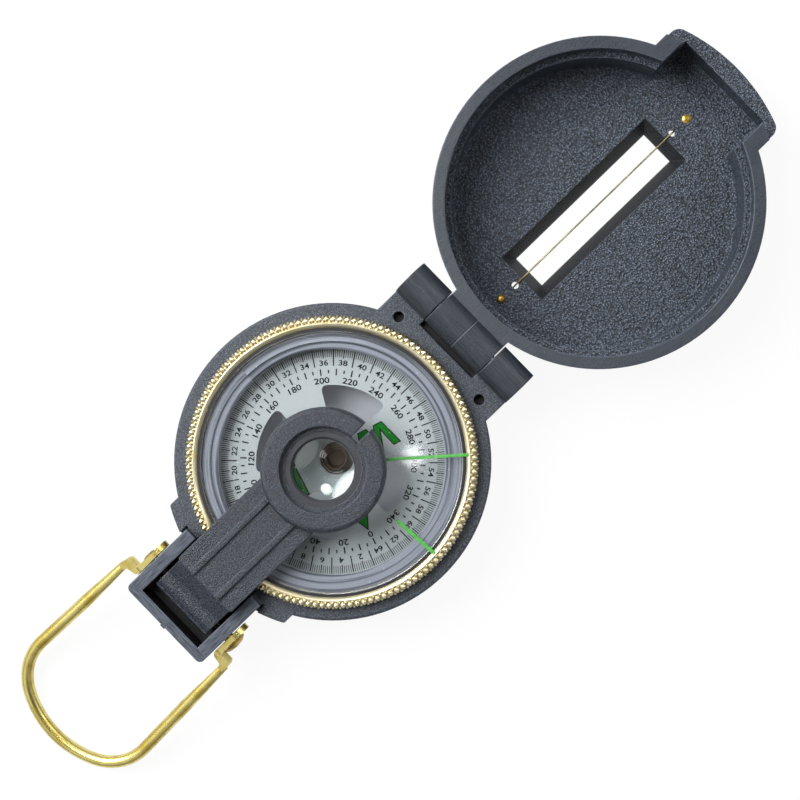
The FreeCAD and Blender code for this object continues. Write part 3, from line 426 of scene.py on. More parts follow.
def moulded_plastic(name, tone, pebble, depth, gloss, contrast,
                    barrels=False, tops=None, drawn_pale=0.5, painted_shade_boxes=(), painted_shade_tone=BLACK):
    """Pebbled grey plastic. Barrels and level tops can be smooth, with drawn lines.

    Tops is the height above which level faces are smooth, and the Y below which
    their lines run across. Boxes, in millimetres, can be given, where shade is painted in a tone of
    its own.
    """
    material, tree, shader = new_finish(name)
    where = wire(tree, "TexCoord").outputs["Object"]
    spot = wire(tree, "SeparateXYZ", Vector=where)
    grain = use_effect(tree, moulded_grain, Pebble_Size=pebble)
    edge_wear_and_highlight = use_effect(tree, edges_worn_and_highlit, Width=0.38 * MM)
    specks = use_effect(tree, dust, Speck_Size=0.9 * MM, Amount=0.10)
    clouds = wire(tree, "TexNoise", Vector=where, Scale=90.0, Detail=3.0)
    dark = scaled(tone, 0.38)
    pale = scaled(tone, 3.8, 0.025)
    cloudy = ramp(tree, clouds.outputs["Fac"], 0.3, 0.7)
    colour = mix_colours(tree, cloudy, scaled(tone, 0.86), tone)
    # Creases are painted darker as shade and tips paler as highlight.
    pebbled = mix_colours(tree, maths(tree, "MULTIPLY", grain.outputs["Creases"], contrast),
                          colour, dark)
    pebbled = mix_colours(tree, maths(tree, "MULTIPLY", grain.outputs["Tips"], contrast),
                          pebbled, pale)
    smooth = 0.0
    height = grain.outputs["Height"]
    if barrels:
        lines = use_effect(tree, brushed_lines, Stretch=(300, 5200, 5200)).outputs["Lines"]
        smooth = near_hinge(tree, spot)
        drawn = mix_colours(tree, ramp(tree, lines, 0.35, 0.65, 0.0, 0.75), dark, tone)
        # The barrels' parting line is a dark joint line with a painted highlight beside it.
        lit_seam = part_of(tree, smooth, spot.outputs["X"], SEAM_MIDDLE, SEAM_EDGE)
        drawn = mix_colours(tree, lit_seam, drawn, pale)
        dark_seam = part_of(tree, smooth, spot.outputs["X"], -SEAM_EDGE, SEAM_MIDDLE)
        drawn = mix_colours(tree, dark_seam, drawn, (0.002, 0.002, 0.002, 1))
        pebbled = mix_colours(tree, smooth, pebbled, drawn)
        height = wire(tree, "MapRange", Value=smooth, To_Min=height,
                      To_Max=maths(tree, "MULTIPLY", lines, 0.3)).outputs[0]
    # Edges are painted paler, partly for wear and partly as the highlight they catch.
    wear_and_highlight = maths(tree, "MULTIPLY", edge_wear_and_highlight.outputs["Mask"], 0.7)
    # Shade is painted into each box, where the part lies in shadow.
    for low, high in painted_shade_boxes:
        in_painted_shade = inside_box(tree, spot, low, high)
        wear_and_highlight = maths(tree, "MULTIPLY", wear_and_highlight, maths(tree, "SUBTRACT", 1.0, in_painted_shade))
        pebbled = mix_colours(tree, in_painted_shade, pebbled, painted_shade_tone)
        height = wire(tree, "MapRange", Value=in_painted_shade, To_Min=height, To_Max=0.5).outputs[0]
    if tops is not None:
        lowest, across_below = tops
        level = maths(tree, "MULTIPLY", facing_up(tree, spot, lowest),
                      maths(tree, "SUBTRACT", 1.0, smooth))
        along = use_effect(tree, brushed_lines, Stretch=(6500, 350, 6500)).outputs["Lines"]
        across = use_effect(tree, brushed_lines, Stretch=(350, 6500, 6500)).outputs["Lines"]
        turned = maths(tree, "LESS_THAN", spot.outputs["Y"], across_below)
        lines = wire(tree, "MapRange", Value=turned, To_Min=along, To_Max=across).outputs[0]
        drawn = mix_colours(tree, ramp(tree, lines, 0.36, 0.62, 0.0, drawn_pale),
                            scaled(tone, 0.66), pale)
        pebbled = mix_colours(tree, level, pebbled, drawn)
        height = wire(tree, "MapRange", Value=level, To_Min=height,
                      To_Max=maths(tree, "MULTIPLY", lines, 0.25)).outputs[0]
    colour = mix_colours(tree, wear_and_highlight, pebbled, pale)
    colour = mix_colours(tree, maths(tree, "MULTIPLY", specks.outputs["Mask"], 0.3),
                         colour, tint(170, 172, 178))
    polish = maths(tree, "MULTIPLY", maths(tree, "MAXIMUM", edge_wear_and_highlight.outputs["Mask"],
                                           grain.outputs["Tips"]), -0.12)
    rough = maths(tree, "ADD", polish, ramp(tree, clouds.outputs["Fac"], 0.3, 0.7,
                                            gloss, gloss + 0.1))
    bump = wire(tree, "Bump", Strength=1.0, Distance=depth, Height=height,
                Normal=edge_wear_and_highlight.outputs["Normal"])
    plug(tree, shader.inputs["Base Color"], colour)
    plug(tree, shader.inputs["Roughness"], rough)
    plug(tree, shader.inputs["Normal"], bump.outputs["Normal"])
    shader.inputs["Specular IOR Level"].default_value = 0.5
    return material


# Painted shade boxes: the gap under the knuckle, the bracket's well, the two dimples and the lid
# slot's bevels.
knuckle_gap = ((-6.6, 26.0, 0.0), (6.6, 33.0, 9.1))
bracket_well = ((-6.9, -38.8, 6.0), (6.9, -25.0, 13.3))
dimples = [((x - 1.025, 24.6, 8.0), (x + 1.025, 26.7, 10.95)) for x in (-9.925, 9.925)]
wire_start, wire_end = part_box("sight_wire")
SLOT_Y = (wire_start.y + wire_end.y) / 2 / MM
slot_bevels = ((-5.21, SLOT_Y - 17.66, 0.05), (5.21, SLOT_Y + 17.66, 2.17))
case_plastic = moulded_plastic("case_plastic", tint(64, 70, 80), 0.24 * MM, 0.07 * MM, 0.40, 0.6,
                               barrels=True, tops=(13.35 * MM, -38.75 * MM),
                               painted_shade_boxes=[knuckle_gap, bracket_well, *dimples])
lid_plastic = moulded_plastic("lid_plastic", tint(63, 70, 81), 0.36 * MM, 0.26 * MM, 0.31, 1.0,
                              barrels=True, tops=(13.7 * MM, NO_CROSS_LINES), drawn_pale=0.08,
                              painted_shade_boxes=[slot_bevels], painted_shade_tone=tint(36, 37, 41))
arm_plastic = moulded_plastic("arm_plastic", tint(41, 46, 56), 0.24 * MM, 0.08 * MM, 0.31, 0.85)
print("plastics:", case_plastic.name, lid_plastic.name, arm_plastic.name)

# %% [markdown]
# ## Metals
# The bezel is a pale, bright gold finish and the loop a deeper yellow brass
# with a hand-rubbed, cloudy surface. Both are full metals, so their colour is
# the colour of their reflections. Fine lines in the bump break those up.

# %% Metal finish
def rubbed_metal(name, bright, dull, rough, lines, line_depth, painted_shade=None):
    """Metal with cloudy tarnish, fine lines and perhaps painted shade: a mask and its tone."""
    material, tree, shader = new_finish(name)
    where = wire(tree, "TexCoord").outputs["Object"]
    clouds = wire(tree, "TexNoise", Vector=where, Scale=260.0, Detail=5.0, Roughness=0.6)
    pits = wire(tree, "TexNoise", Vector=where, Scale=2600.0, Detail=2.0)
    marks = lines(tree)
    tarnish = ramp(tree, clouds.outputs["Fac"], 0.38, 0.68)
    colour = mix_colours(tree, tarnish, bright, dull)
    if painted_shade:
        where_shaded, shade_tone = painted_shade
        colour = mix_colours(tree, where_shaded(tree), colour, shade_tone)
    shade = ramp(tree, clouds.outputs["Fac"], 0.3, 0.75, rough, rough + 0.16)
    height = maths(tree, "ADD", marks, maths(tree, "MULTIPLY", pits.outputs["Fac"], 0.5))
    bump = wire(tree, "Bump", Strength=0.5, Distance=line_depth, Height=height)
    plug(tree, shader.inputs["Base Color"], colour)
    plug(tree, shader.inputs["Roughness"], shade)
    plug(tree, shader.inputs["Normal"], bump.outputs["Normal"])
    shader.inputs["Metallic"].default_value = 1.0
    return material


def rings_of(spacing):
    """Lines left by a lathe."""
    return lambda tree: use_effect(tree, lathe_rings, Spacing=spacing).outputs["Lines"]


def streaks_of(stretch):
    """Lines left by rubbing."""
    return lambda tree: use_effect(tree, brushed_lines, Stretch=stretch).outputs["Lines"]


def in_grooves(tree):
    """How deep a point lies in the knurl, as stored on the mesh."""
    return wire(tree, "Attribute", {"attribute_name": "groove"}).outputs["Fac"]


def inside_bracket(tree):
    """1 on the shaft of the pivot pin inside the bracket, which is painted dark as shade."""
    across = wire(tree, "SeparateXYZ", Vector=wire(tree, "TexCoord").outputs["Object"]).outputs["X"]
    return maths(tree, "LESS_THAN", maths(tree, "ABSOLUTE", across), 9.0 * MM)


# Shade is painted dark into the bezel's knurl grooves.
bezel_gold = rubbed_metal("bezel_gold", tint(246, 238, 206), tint(228, 216, 172), 0.28,
                          rings_of(0.12 * MM), 0.02 * MM, painted_shade=(in_grooves, tint(150, 134, 92)))
loop_brass = rubbed_metal("loop_brass", tint(232, 217, 138), tint(198, 176, 88), 0.24,
                          streaks_of((5200, 500, 5200)), 0.03 * MM)
pin_brass = rubbed_metal("pin_brass", tint(204, 172, 92), tint(140, 106, 48), 0.30,
                         rings_of(0.1 * MM), 0.01 * MM)
# Shade is painted dark onto the pivot pin's shaft inside the bracket.
pivot_brass = rubbed_metal("pivot_brass", tint(190, 160, 88), tint(120, 92, 44), 0.32,
                           rings_of(0.1 * MM), 0.01 * MM,
                           painted_shade=(inside_bracket, tint(40, 34, 28)))
wire_brass = rubbed_metal("wire_brass", tint(176, 162, 116), tint(104, 94, 64), 0.34,
                          rings_of(0.10 * MM), 0.004 * MM)
hub_bronze = rubbed_metal("hub_bronze", tint(104, 80, 64), tint(58, 42, 33), 0.3,
                          rings_of(0.1 * MM), 0.01 * MM)
steel = rubbed_metal("steel", tint(196, 198, 202), tint(150, 152, 158), 0.3,
                     rings_of(0.1 * MM), 0.01 * MM)
dark_metal = rubbed_metal("dark_metal", tint(70, 68, 66), tint(44, 42, 41), 0.4,
                          rings_of(0.1 * MM), 0.01 * MM)
print("eight metals")

# %% [markdown]
# ## Crystal and window
# Both are flat clear discs and are dressed alike, with a little haze and dust.
# A plain glass shader would keep the lamps off the dial, so for shadow and
# diffuse rays the material is simply transparent.

# %% Clear parts
def let_light_through(tree, surface, colour=(1, 1, 1, 1)):
    """Ends a glass material: transparent to lamp light, and itself to the eye."""
    path = wire(tree, "LightPath")
    open_way = maths(tree, "MAXIMUM", path.outputs["Is Shadow Ray"],
                     path.outputs["Is Diffuse Ray"])
    clear = wire(tree, "BsdfTransparent", Color=colour)
    both = wire(tree, "MixShader")
    for index, source in enumerate((open_way, surface, clear.outputs[0])):
        plug(tree, both.inputs[index], source)
    plug(tree, tree.nodes["Material Output"].inputs["Surface"], both.outputs[0])


def clear_part(name, colour, rough, index):
    """A clear disc that still lets lamp light reach what lies below."""
    material, tree, shader = new_finish(name)
    specks = use_effect(tree, dust, Speck_Size=0.8 * MM, Amount=0.05)
    smears = wire(tree, "TexNoise", Vector=wire(tree, "TexCoord").outputs["Object"],
                  Scale=160.0, Detail=4.0)
    haze = ramp(tree, smears.outputs["Fac"], 0.5, 0.8, rough, rough + 0.05)
    plug(tree, shader.inputs["Roughness"],
         maths(tree, "ADD", haze, maths(tree, "MULTIPLY", specks.outputs["Mask"], 0.4)))
    shader.inputs["Base Color"].default_value = colour
    shader.inputs["Transmission Weight"].default_value = 1.0
    shader.inputs["IOR"].default_value = index
    let_light_through(tree, shader.outputs[0], colour)
    return material


crystal_clear = clear_part("crystal_clear", (0.975, 0.985, 0.985, 1), 0.035, 1.49)
print("clear part ready")

# %% [markdown]
# ## Reading lens
# A ground lens is clear glass first and a mirror second. Its faces are bloomed,
# so they reflect a third of what bare glass would. One ready-made glass shader
# can't be dimmed like that, so bending and mirroring are two shaders, mixed.

# %% Lens
lens_clear, tree, shader = new_finish("lens_clear")
film = wire(tree, "TexNoise", Vector=wire(tree, "TexCoord").outputs["Object"],
            Scale=500.0, Detail=4.0)
bent = wire(tree, "BsdfRefraction", Color=(0.95, 0.97, 0.965, 1), Roughness=0.0, IOR=1.49)
shine = wire(tree, "BsdfGlossy", Color=(1, 1, 1, 1),
             Roughness=ramp(tree, film.outputs["Fac"], 0.4, 0.7, 0.03, 0.09))
bloomed = maths(tree, "MULTIPLY", wire(tree, "Fresnel", IOR=1.49).outputs[0], 0.3)
glass = wire(tree, "MixShader")
for index, source in enumerate((bloomed, bent.outputs[0], shine.outputs[0])):
    plug(tree, glass.inputs[index], source)
let_light_through(tree, glass.outputs[0])
tree.nodes.remove(shader)
print("lens ready")

# %% [markdown]
# ## Paint, rubber and print
# The clamp ring under the crystal is a lavender-grey paint, the gasket black
# rubber, and the dial a pale green-grey card. The cup glows very slightly: that
# stands in for the light which the card's white back throws down into it.

# %% Matt parts
MATT_GRAIN, MATT_DEPTH = 0.35 * MM, 0.01 * MM


def matt_part(name, tone, rough, mottle=0.9, shine=0.5):
    """Painted, printed or rubber surface: one tone, lightly mottled and grainy."""
    material, tree, shader = new_finish(name)
    grain = use_effect(tree, moulded_grain, Pebble_Size=MATT_GRAIN)
    clouds = wire(tree, "TexNoise", Vector=wire(tree, "TexCoord").outputs["Object"],
                  Scale=300.0, Detail=4.0)
    colour = mix_colours(tree, ramp(tree, clouds.outputs["Fac"], 0.3, 0.7),
                         scaled(tone, mottle), tone)
    bump = wire(tree, "Bump", Strength=0.4, Distance=MATT_DEPTH,
                Height=grain.outputs["Height"])
    plug(tree, shader.inputs["Base Color"], colour)
    plug(tree, shader.inputs["Roughness"],
         ramp(tree, clouds.outputs["Fac"], 0.3, 0.7, rough, rough + 0.08))
    plug(tree, shader.inputs["Normal"], bump.outputs["Normal"])
    shader.inputs["Specular IOR Level"].default_value = shine
    return material


def ring_paint(name, pale, deep):
    """Glossy paint on a turned ring, with tones that follow the turning."""
    material, tree, shader = new_finish(name)
    wide = use_effect(tree, lathe_rings, Spacing=0.55 * MM).outputs["Lines"]
    fine = use_effect(tree, lathe_rings, Spacing=0.09 * MM).outputs["Lines"]
    colour = mix_colours(tree, ramp(tree, wide, 0.42, 0.62), pale, deep)
    bump = wire(tree, "Bump", Strength=0.5, Distance=0.02 * MM, Height=fine)
    plug(tree, shader.inputs["Base Color"], colour)
    plug(tree, shader.inputs["Roughness"], ramp(tree, fine, 0.3, 0.7, 0.16, 0.26))
    plug(tree, shader.inputs["Normal"], bump.outputs["Normal"])
    shader.inputs["Specular IOR Level"].default_value = 0.8
    return material


dial_paper = matt_part("dial_paper", tint(205, 210, 213), 0.5, 0.95)
cup_paint = matt_part("cup_paint", tint(228, 229, 236), 0.35, 0.92)
cup_shader = cup_paint.node_tree.nodes["Principled BSDF"]
cup_shader.inputs["Emission Color"].default_value = tint(228, 229, 236)
cup_shader.inputs["Emission Strength"].default_value = 0.03
ring_grey = ring_paint("ring_grey", tint(160, 165, 178), tint(96, 100, 110))
lens_ring_grey = matt_part("lens_ring_grey", tint(66, 67, 72), 0.35, 0.85)
rubber = matt_part("black_rubber", tint(28, 28, 30), 0.5)
print_black = matt_part("print_black", tint(14, 14, 16), 0.5, shine=0.15)
print_green = matt_part("print_green", tint(8, 146, 30), 0.45, shine=0.15)
jewel_red = matt_part("jewel", tint(96, 60, 44), 0.2)
line_green = matt_part("line_green", tint(104, 214, 92), 0.3)
tree = line_green.node_tree
clear_share = wire(tree, "TexNoise", Vector=wire(tree, "TexCoord").outputs["Object"],
                   Scale=900.0, Detail=2.0)
plug(tree, tree.nodes["Principled BSDF"].inputs["Alpha"],
     ramp(tree, clear_share.outputs["Fac"], 0.35, 0.65, 0.5, 0.75))
print("matt parts ready")

# %% [markdown]
# ## Dressing
# Every solid gets the one finish that its real part has, from plastic to paint.

# %% Dress the solids
DRESS = {
    "case_body": case_plastic,
    "lid_shell": lid_plastic,
    "sight_arm": arm_plastic,
    "bezel_ring": bezel_gold,
    "thumb_loop": loop_brass,
    "wire_pin_front": pin_brass,
    "wire_pin_rear": pin_brass,
    "sight_wire": wire_brass,
    "pivot_pin": pivot_brass,
    "lid_hinge_pin": steel,
    "pivot_post": pin_brass,
    "dial_hub": hub_bronze,
    "dial_jewel": jewel_red,
    "dial_magnet": dark_metal,
    "bezel_retaining_ring": steel,
    "capsule_cup": cup_paint,
    "capsule_clamp_ring": ring_grey,
    "capsule_seal": rubber,
    "crystal_gasket": rubber,
    "capsule_window": crystal_clear,
    "bezel_crystal": crystal_clear,
    "sight_lens": lens_clear,
    "lens_ring": lens_ring_grey,
    "dial_card": dial_paper,
    "index_line_long": line_green,
    "index_line_short": line_green,
}
for part, finish in DRESS.items():
    mesh = nodes[part].data
    mesh.materials.clear()
    mesh.materials.append(finish)
print(len(DRESS), "of", len(nodes), "solids dressed")

# %% [markdown]
# ## Dial scales
# The card is printed with two rings of figures that run clockwise: hundreds of
# mils outside, every 20 degrees inside. A printed mark could be painted with a
# texture, but thin raised strips stay sharp at any distance and need no image,
# so each mark is a box as thick as a film of ink. All marks of one ring are
# made by one loop over its bearings.

# %% Ink strips
CARD_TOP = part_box("dial_card")[1].z
INK = 0.012 * MM
NORTH = math.radians(-16.5)


def heading(degrees):
    """World angle of a bearing: the figures run clockwise from north."""
    return NORTH - math.radians(degrees)


def new_piece(name, mesh, finish, body):
    """Puts a mesh in the scene as a piece that rides on one body."""
    mesh.materials.clear()
    mesh.materials.append(finish)
    piece = bpy.data.objects.new(name, mesh)
    bpy.context.scene.collection.objects.link(piece)
    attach(piece, body)
    return piece


def mesh_from(name, shape):
    """Turns a bmesh into a mesh and frees it."""
    result = bpy.data.meshes.new(name)
    shape.to_mesh(result)
    shape.free()
    return result


def raise_outline(shape, outline, low, high):
    """Adds a flat outline to a bmesh as a solid from one height to another."""
    bottom = [shape.verts.new((x, y, low)) for x, y in outline]
    top = [shape.verts.new((x, y, high)) for x, y in outline]
    shape.faces.new(top)
    shape.faces.new(bottom[::-1])
    for index, corner in enumerate(bottom):
        following = (index + 1) % len(outline)
        shape.faces.new((corner, bottom[following], top[following], top[index]))


def strip(angle, inner, outer, width):
    """Corners of a radial strip, in metres."""
    along = Vector((math.cos(angle), math.sin(angle)))
    across = Vector((-along.y, along.x)) * width / 2
    return [along * inner - across, along * outer - across,
            along * outer + across, along * inner + across]


FINE_TICKS, FINE_END = 320, 19.42
COARSE_TICKS = 72
marks = bmesh.new()
for step in range(FINE_TICKS):
    inner, width = 18.15, 0.115
    if step % 5 == 0:
        inner, width = (16.6, 0.21) if step % 10 else (17.95, 0.18)
    bearing_here = heading(step * 360 / FINE_TICKS)
    raise_outline(marks, strip(bearing_here, inner * MM, FINE_END * MM, width * MM),
                  CARD_TOP, CARD_TOP + INK)
for step in range(COARSE_TICKS):
    inner, outer = (14.95, 16.1) if step % 2 == 0 else (15.3, 15.9)
    angle = heading(step * 360 / COARSE_TICKS)
    raise_outline(marks, strip(angle, inner * MM, outer * MM, 0.24 * MM),
                  CARD_TOP, CARD_TOP + INK)
new_piece("dial_ticks", mesh_from("dial_ticks", marks), print_black, "dial")
print("ticks:", FINE_TICKS + COARSE_TICKS)

# %% [markdown]
# ## Figures
# The built-in plain font is close to the wide sans serif on such dials. One
# text object is set, measured and turned into a mesh for each figure, and all
# of them are gathered into a single piece. Their tops point outward.

# %% Figures
def figure_mesh(words, height, stretch):
    """Mesh of a word centred on the origin, with upright sides as thick as ink."""
    text = bpy.data.curves.new("figure", "FONT")
    text.body = words
    text.align_x = "CENTER"
    text.extrude = 0.5
    text.offset = 0.022
    text.resolution_u = 3
    holder = bpy.data.objects.new("figure", text)
    shape = bpy.data.meshes.new_from_object(holder)
    bpy.data.objects.remove(holder)
    bpy.data.curves.remove(text)
    points = np.array([v.co for v in shape.vertices])
    low, high = points.min(0), points.max(0)
    scale = height / (high[1] - low[1])
    shape.transform(Matrix.Translation((-(low[0] + high[0]) / 2, -(low[1] + high[1]) / 2, 0)))
    shape.transform(Matrix.Diagonal((scale * stretch, scale, INK, 1)))
    return shape


WIDER = 1.24
MIL_RADIUS, MIL_HEIGHT = 17.15, 0.98
DEGREE_RADIUS, DEGREE_HEIGHT = 14.12, 1.08
figures = bmesh.new()
labels = [(str(n), n * 360 / 64, MIL_RADIUS, MIL_HEIGHT) for n in range(2, 65, 2)]
labels += [(str(d), d, DEGREE_RADIUS, DEGREE_HEIGHT) for d in range(0, 360, 20)]
for words, bearing_here, radius, height in labels:
    shape = figure_mesh(words, height * MM, WIDER)
    angle = heading(bearing_here)
    place = Vector((math.cos(angle), math.sin(angle), 0)) * radius * MM
    place.z = CARD_TOP + INK / 2
    shape.transform(Matrix.Translation(place) @ Matrix.Rotation(angle - math.pi / 2, 4, "Z"))
    figures.from_mesh(shape)
    bpy.data.meshes.remove(shape)
new_piece("dial_figures", mesh_from("dial_figures", figures), print_black, "dial")
print("figures:", len(labels))

# %% [markdown]
# ## Cardinal letters and the north arrow
# West, east and south are heavy block letters and north is an arrowhead. Each
# is green with a black outline: a black solid, and a smaller green one on it.
# The letters' tops all point north. Outlines are drawn around the
# letter's middle, x to its right and y to its top, in millimetres.

# %% Letters
LETTERS = {
    "W": [(-3.8, 2.36), (-2.36, -2.36), (-0.66, -2.36), (0, -0.48), (0.66, -2.36),
          (2.36, -2.36), (3.8, 2.36), (2.3, 2.36), (1.46, -0.83), (0.42, 2.36),
          (-0.42, 2.36), (-1.46, -0.83), (-2.3, 2.36)],
    "E": [(-1.9, -2.36), (1.9, -2.36), (1.9, -1.3), (-0.65, -1.3), (-0.65, -0.55),
          (1.5, -0.55), (1.5, 0.55), (-0.65, 0.55), (-0.65, 1.3), (1.9, 1.3),
          (1.9, 2.36), (-1.9, 2.36)],
    "S": [(-1.9, -2.36), (1.9, -2.36), (1.9, 0.53), (-0.7, 0.53), (-0.7, 1.3),
          (1.9, 1.3), (1.9, 2.36), (-1.9, 2.36), (-1.9, -0.53), (0.7, -0.53),
          (0.7, -1.3), (-1.9, -1.3)],
    "N": [(-2.6, -2.7), (2.6, -2.7), (0, 2.7)],
}
PLACES = {"W": (270, 8.4), "E": (90, 6.6), "S": (180, 7.3), "N": (0, 10.75)}


def shrink(outline, by):
    """The outline with every side moved inward by the same distance."""
    count = len(outline)
    moved = []
    for index in range(count):
        before, here, after = (Vector(outline[(index + turn) % count]) for turn in (-1, 0, 1))
        first, second = (here - before).normalized(), (after - here).normalized()
        inward = Vector((-first.y, first.x)) + Vector((-second.y, second.x))
        moved.append(here + inward * by / (1 + first.dot(second)))
    return moved


right = Vector((math.cos(NORTH - math.pi / 2), math.sin(NORTH - math.pi / 2)))
up = Vector((math.cos(NORTH), math.sin(NORTH)))
outlines, fills = bmesh.new(), bmesh.new()
for letter, corners in LETTERS.items():
    bearing_here, radius = PLACES[letter]
    angle = heading(bearing_here)
    middle = Vector((math.cos(angle), math.sin(angle))) * radius
    for target, inset, low, high in ((outlines, 0.0, 0.0, 1.0), (fills, 0.21, 1.0, 1.6)):
        placed = [(middle + right * x + up * y) * MM for x, y in shrink(corners, inset)]
        raise_outline(target, placed, CARD_TOP + low * INK, CARD_TOP + high * INK)
for name, shape, finish in (("letter_outlines", outlines, print_black),
                            ("letter_fills", fills, print_green)):
    new_piece(name, mesh_from(name, shape), finish, "dial")
print("letters:", ", ".join(LETTERS))

# %% [markdown]
# ## Knurled bezel
# The grip of the bezel is rolled with two crossing sets of grooves that leave
# a staggered pattern of small beads. It could be a bump texture, but its
# outline shows against the case, so it is real shape: a ring of points, each
# pushed in where a groove passes. The same depth is kept as a "groove" value on
# every point, so the metal finish can paint shade into the bottoms. The section of the
# ring is listed from its seat, over the polished slope, round the grip, to the
# underside.

# %% Knurled bezel
bezel_low, bezel_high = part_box("bezel_ring")
RIM = bezel_high.x / MM
TOP = bezel_high.z / MM
FOOT = bezel_low.z / MM
TEETH = 128
SLICES = 10
GROOVE_DEPTH = 0.55
DIAMOND = 2.3
ROUNDING = 0.9
LIP = 0.08
WALL_STEP = 0.13

smooth_part = [(22.5, FOOT), (22.5, TOP - 1.1), (23.1, TOP - 1.1), (23.1, TOP - 0.5),
               (23.14, TOP - 0.45), (23.68, TOP - 0.02), (23.76, TOP), (23.84, TOP - 0.04),
               (23.88, TOP - 0.22), (23.94, TOP - 0.3)]
GRIP = 23.96
crown = [(GRIP, TOP - 0.24)]
for number in range(16):
    turn = math.pi / 2 * number / 15
    crown.append((GRIP + LIP + (RIM - GRIP - LIP) * math.sin(turn),
                  TOP - ROUNDING + ROUNDING * math.cos(turn)))
wall = [(RIM, TOP - ROUNDING - WALL_STEP * number) for number in range(1, 10)]
under = [(RIM - 0.12, FOOT + 0.08), (RIM - 0.45, FOOT), (22.9, FOOT)]
section = smooth_part + crown + wall + under
around = TEETH * SLICES
travel = 0.0
points, grooves = [], []
for row, (radius, height) in enumerate(section):
    if row:
        before = section[row - 1]
        travel += math.hypot(radius - before[0], height - before[1])
    if row == len(smooth_part):
        grip_start = travel
    gripped = len(smooth_part) <= row < len(smooth_part) + len(crown) + len(wall)
    for column in range(around):
        turn = 2 * math.pi * column / around
        sunk = 0.0
        if gripped:
            along = (travel - grip_start) / DIAMOND
            across = column / SLICES
            gaps = [abs(phase - round(phase)) for phase in (across + along, across - along)]
            fade = min(1.0, (travel - grip_start) / 0.2)
            sunk = fade * (1 - math.sin(math.pi * min(gaps)))
        grooves.append(sunk)
        pushed = GROOVE_DEPTH * sunk
        tilt = min(1.0, max(0.0, (radius - GRIP) / (RIM - GRIP)))
        ring_radius = (radius - pushed * tilt) * MM
        ring_height = (height - pushed * (1 - tilt)) * MM
        points.append((ring_radius * math.cos(turn), ring_radius * math.sin(turn), ring_height))
faces = []
for row in range(len(section)):
    upper = (row + 1) % len(section)
    for column in range(around):
        following = (column + 1) % around
        faces.append((row * around + column, upper * around + column,
                      upper * around + following, row * around + following))
mesh = bpy.data.meshes.new("bezel_knurled")
mesh.from_pydata(points, [], faces)
mesh.polygons.foreach_set("use_smooth", [True] * len(faces))
mesh.attributes.new("groove", "FLOAT", "POINT").data.foreach_set("value", grooves)
bezel = new_piece("bezel_knurled", mesh, bezel_gold, "bezel")
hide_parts("bezel_ring")
print("bezel:", len(faces), "faces,", TEETH, "teeth")

# %% [markdown]
# ## Stepped hub
# The dial hangs on a small turned hub that is glued into the card. It would be
# turned from bar on a lathe with a stepped profile, so it is made the same way:
# a list of radii and heights spun round the axis. Close rings need real steps,
# because the lens above enlarges them.

# %% Stepped hub
def spun(name, profile, sides=96):
    """A closed ring-shaped solid from a profile of (radius, height) pairs."""
    shape = bmesh.new()
    rows = []
    for radius, height in profile:
        rows.append([shape.verts.new((radius * math.cos(2 * math.pi * n / sides),
                                      radius * math.sin(2 * math.pi * n / sides), height))
                     for n in range(sides)])
    for first, second in zip(rows, rows[1:] + rows[:1]):
        for n in range(sides):
            following = (n + 1) % sides
            shape.faces.new((first[n], first[following], second[following], second[n]))
    bmesh.ops.recalc_face_normals(shape, faces=shape.faces)
    return mesh_from(name, shape)


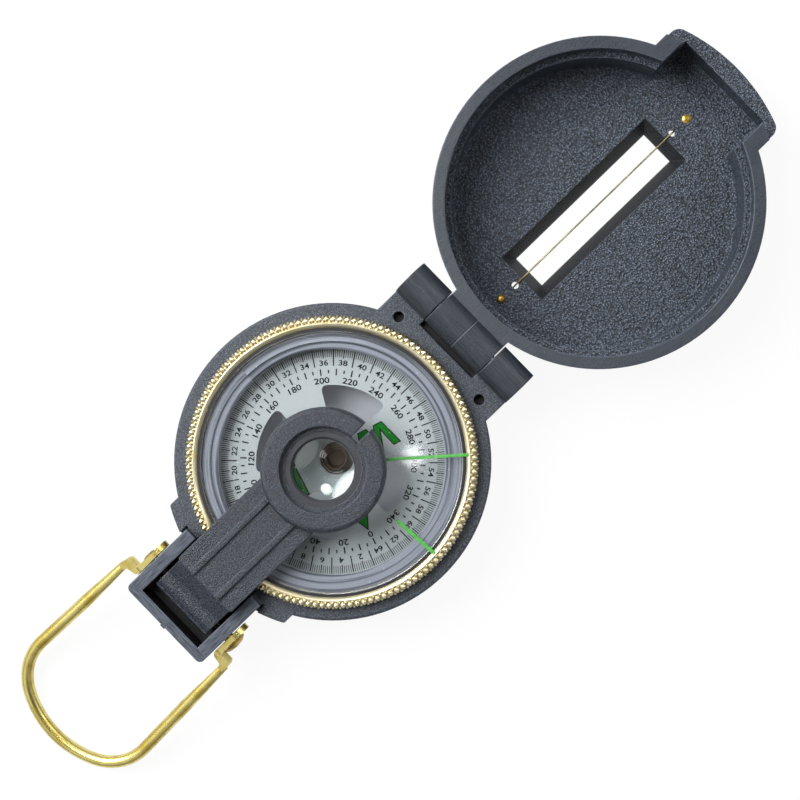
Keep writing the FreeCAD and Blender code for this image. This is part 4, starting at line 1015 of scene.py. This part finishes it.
hub_low, hub_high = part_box("dial_hub")
HUB_TOP, HUB_FOOT = hub_high.z / MM, hub_low.z / MM
SHOULDER = CARD_TOP / MM + 0.1
CARD_EDGE = 1.93
hub_profile = [(0.95, HUB_FOOT), (0.95, HUB_TOP - 0.25), (1.12, HUB_TOP), (1.3, HUB_TOP),
               (1.36, HUB_TOP - 0.12), (1.36, HUB_TOP - 0.35), (1.62, HUB_TOP - 0.42),
               (1.7, HUB_TOP - 0.62), (1.7, SHOULDER + 0.25), (1.86, SHOULDER + 0.2),
               (1.92, SHOULDER), (1.92, CARD_TOP / MM + 0.02), (2.12, CARD_TOP / MM + 0.02),
               (2.14, SHOULDER), (2.26, SHOULDER), (2.3, CARD_TOP / MM + 0.04),
               (2.3, HUB_FOOT + 0.4), (1.9, HUB_FOOT)]
mesh = spun("dial_hub_stepped", [(radius * MM, height * MM) for radius, height in hub_profile])
hub = new_piece("dial_hub_stepped", mesh, hub_bronze, "dial")
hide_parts("dial_hub")
mesh.materials.append(dial_paper)
for face in mesh.polygons:
    face.material_index = int(math.hypot(*face.center[:2]) > CARD_EDGE * MM)
print("hub:", len(hub_profile), "steps in the profile")

# %% [markdown]
# ## Luminous lines
# Two index lines are set in the face of the bezel's crystal and run out over
# the gasket to the metal. They are moulded in a clear green plastic: light
# enters along their length and comes out of their sides, so they look brighter
# than the dial below. Each is a low rounded bar.

# %% Luminous lines
def rounded_bar(name, angle, inner, outer, half_width, low, high):
    """A bar along a radius whose top is domed and whose inner end is round."""
    shape = bmesh.new()
    ring_size = 10
    rings = []
    stations = [(inner, 0.35), (inner + 0.12 * MM, 0.8), (inner + 0.35 * MM, 1.0), (outer, 1.0)]
    for radius, share in stations:
        ring = []
        for number in range(ring_size):
            turn = math.pi * number / (ring_size - 1)
            across = half_width * share * math.cos(turn)
            height = low + (high - low) * share * math.sin(turn) ** 0.6
            ring.append(shape.verts.new((radius, across, height)))
        rings.append(ring)
    for first, second in zip(rings, rings[1:]):
        for number in range(ring_size - 1):
            shape.faces.new((first[number], second[number], second[number + 1],
                             first[number + 1]))
        shape.faces.new((first[-1], second[-1], second[0], first[0]))
    shape.faces.new(rings[0])
    shape.faces.new(rings[-1][::-1])
    bmesh.ops.recalc_face_normals(shape, faces=shape.faces)
    shape.transform(Matrix.Rotation(angle, 4, "Z"))
    return mesh_from(name, shape)


LINE_END = 23.72
for name, degrees, inner, half_width in (("index_line_long", 49.2, 8.9, 0.27),
                                         ("index_line_short", 4.6, 15.0, 0.33)):
    low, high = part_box(name)
    mesh = rounded_bar(name + "_bar", math.radians(degrees), inner * MM, LINE_END * MM,
                       half_width * MM, low.z, high.z)
    bar = new_piece(name + "_bar", mesh, line_green, "bezel")
    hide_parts(name)
    print(bar.name, round(LINE_END - inner, 1), "mm long")
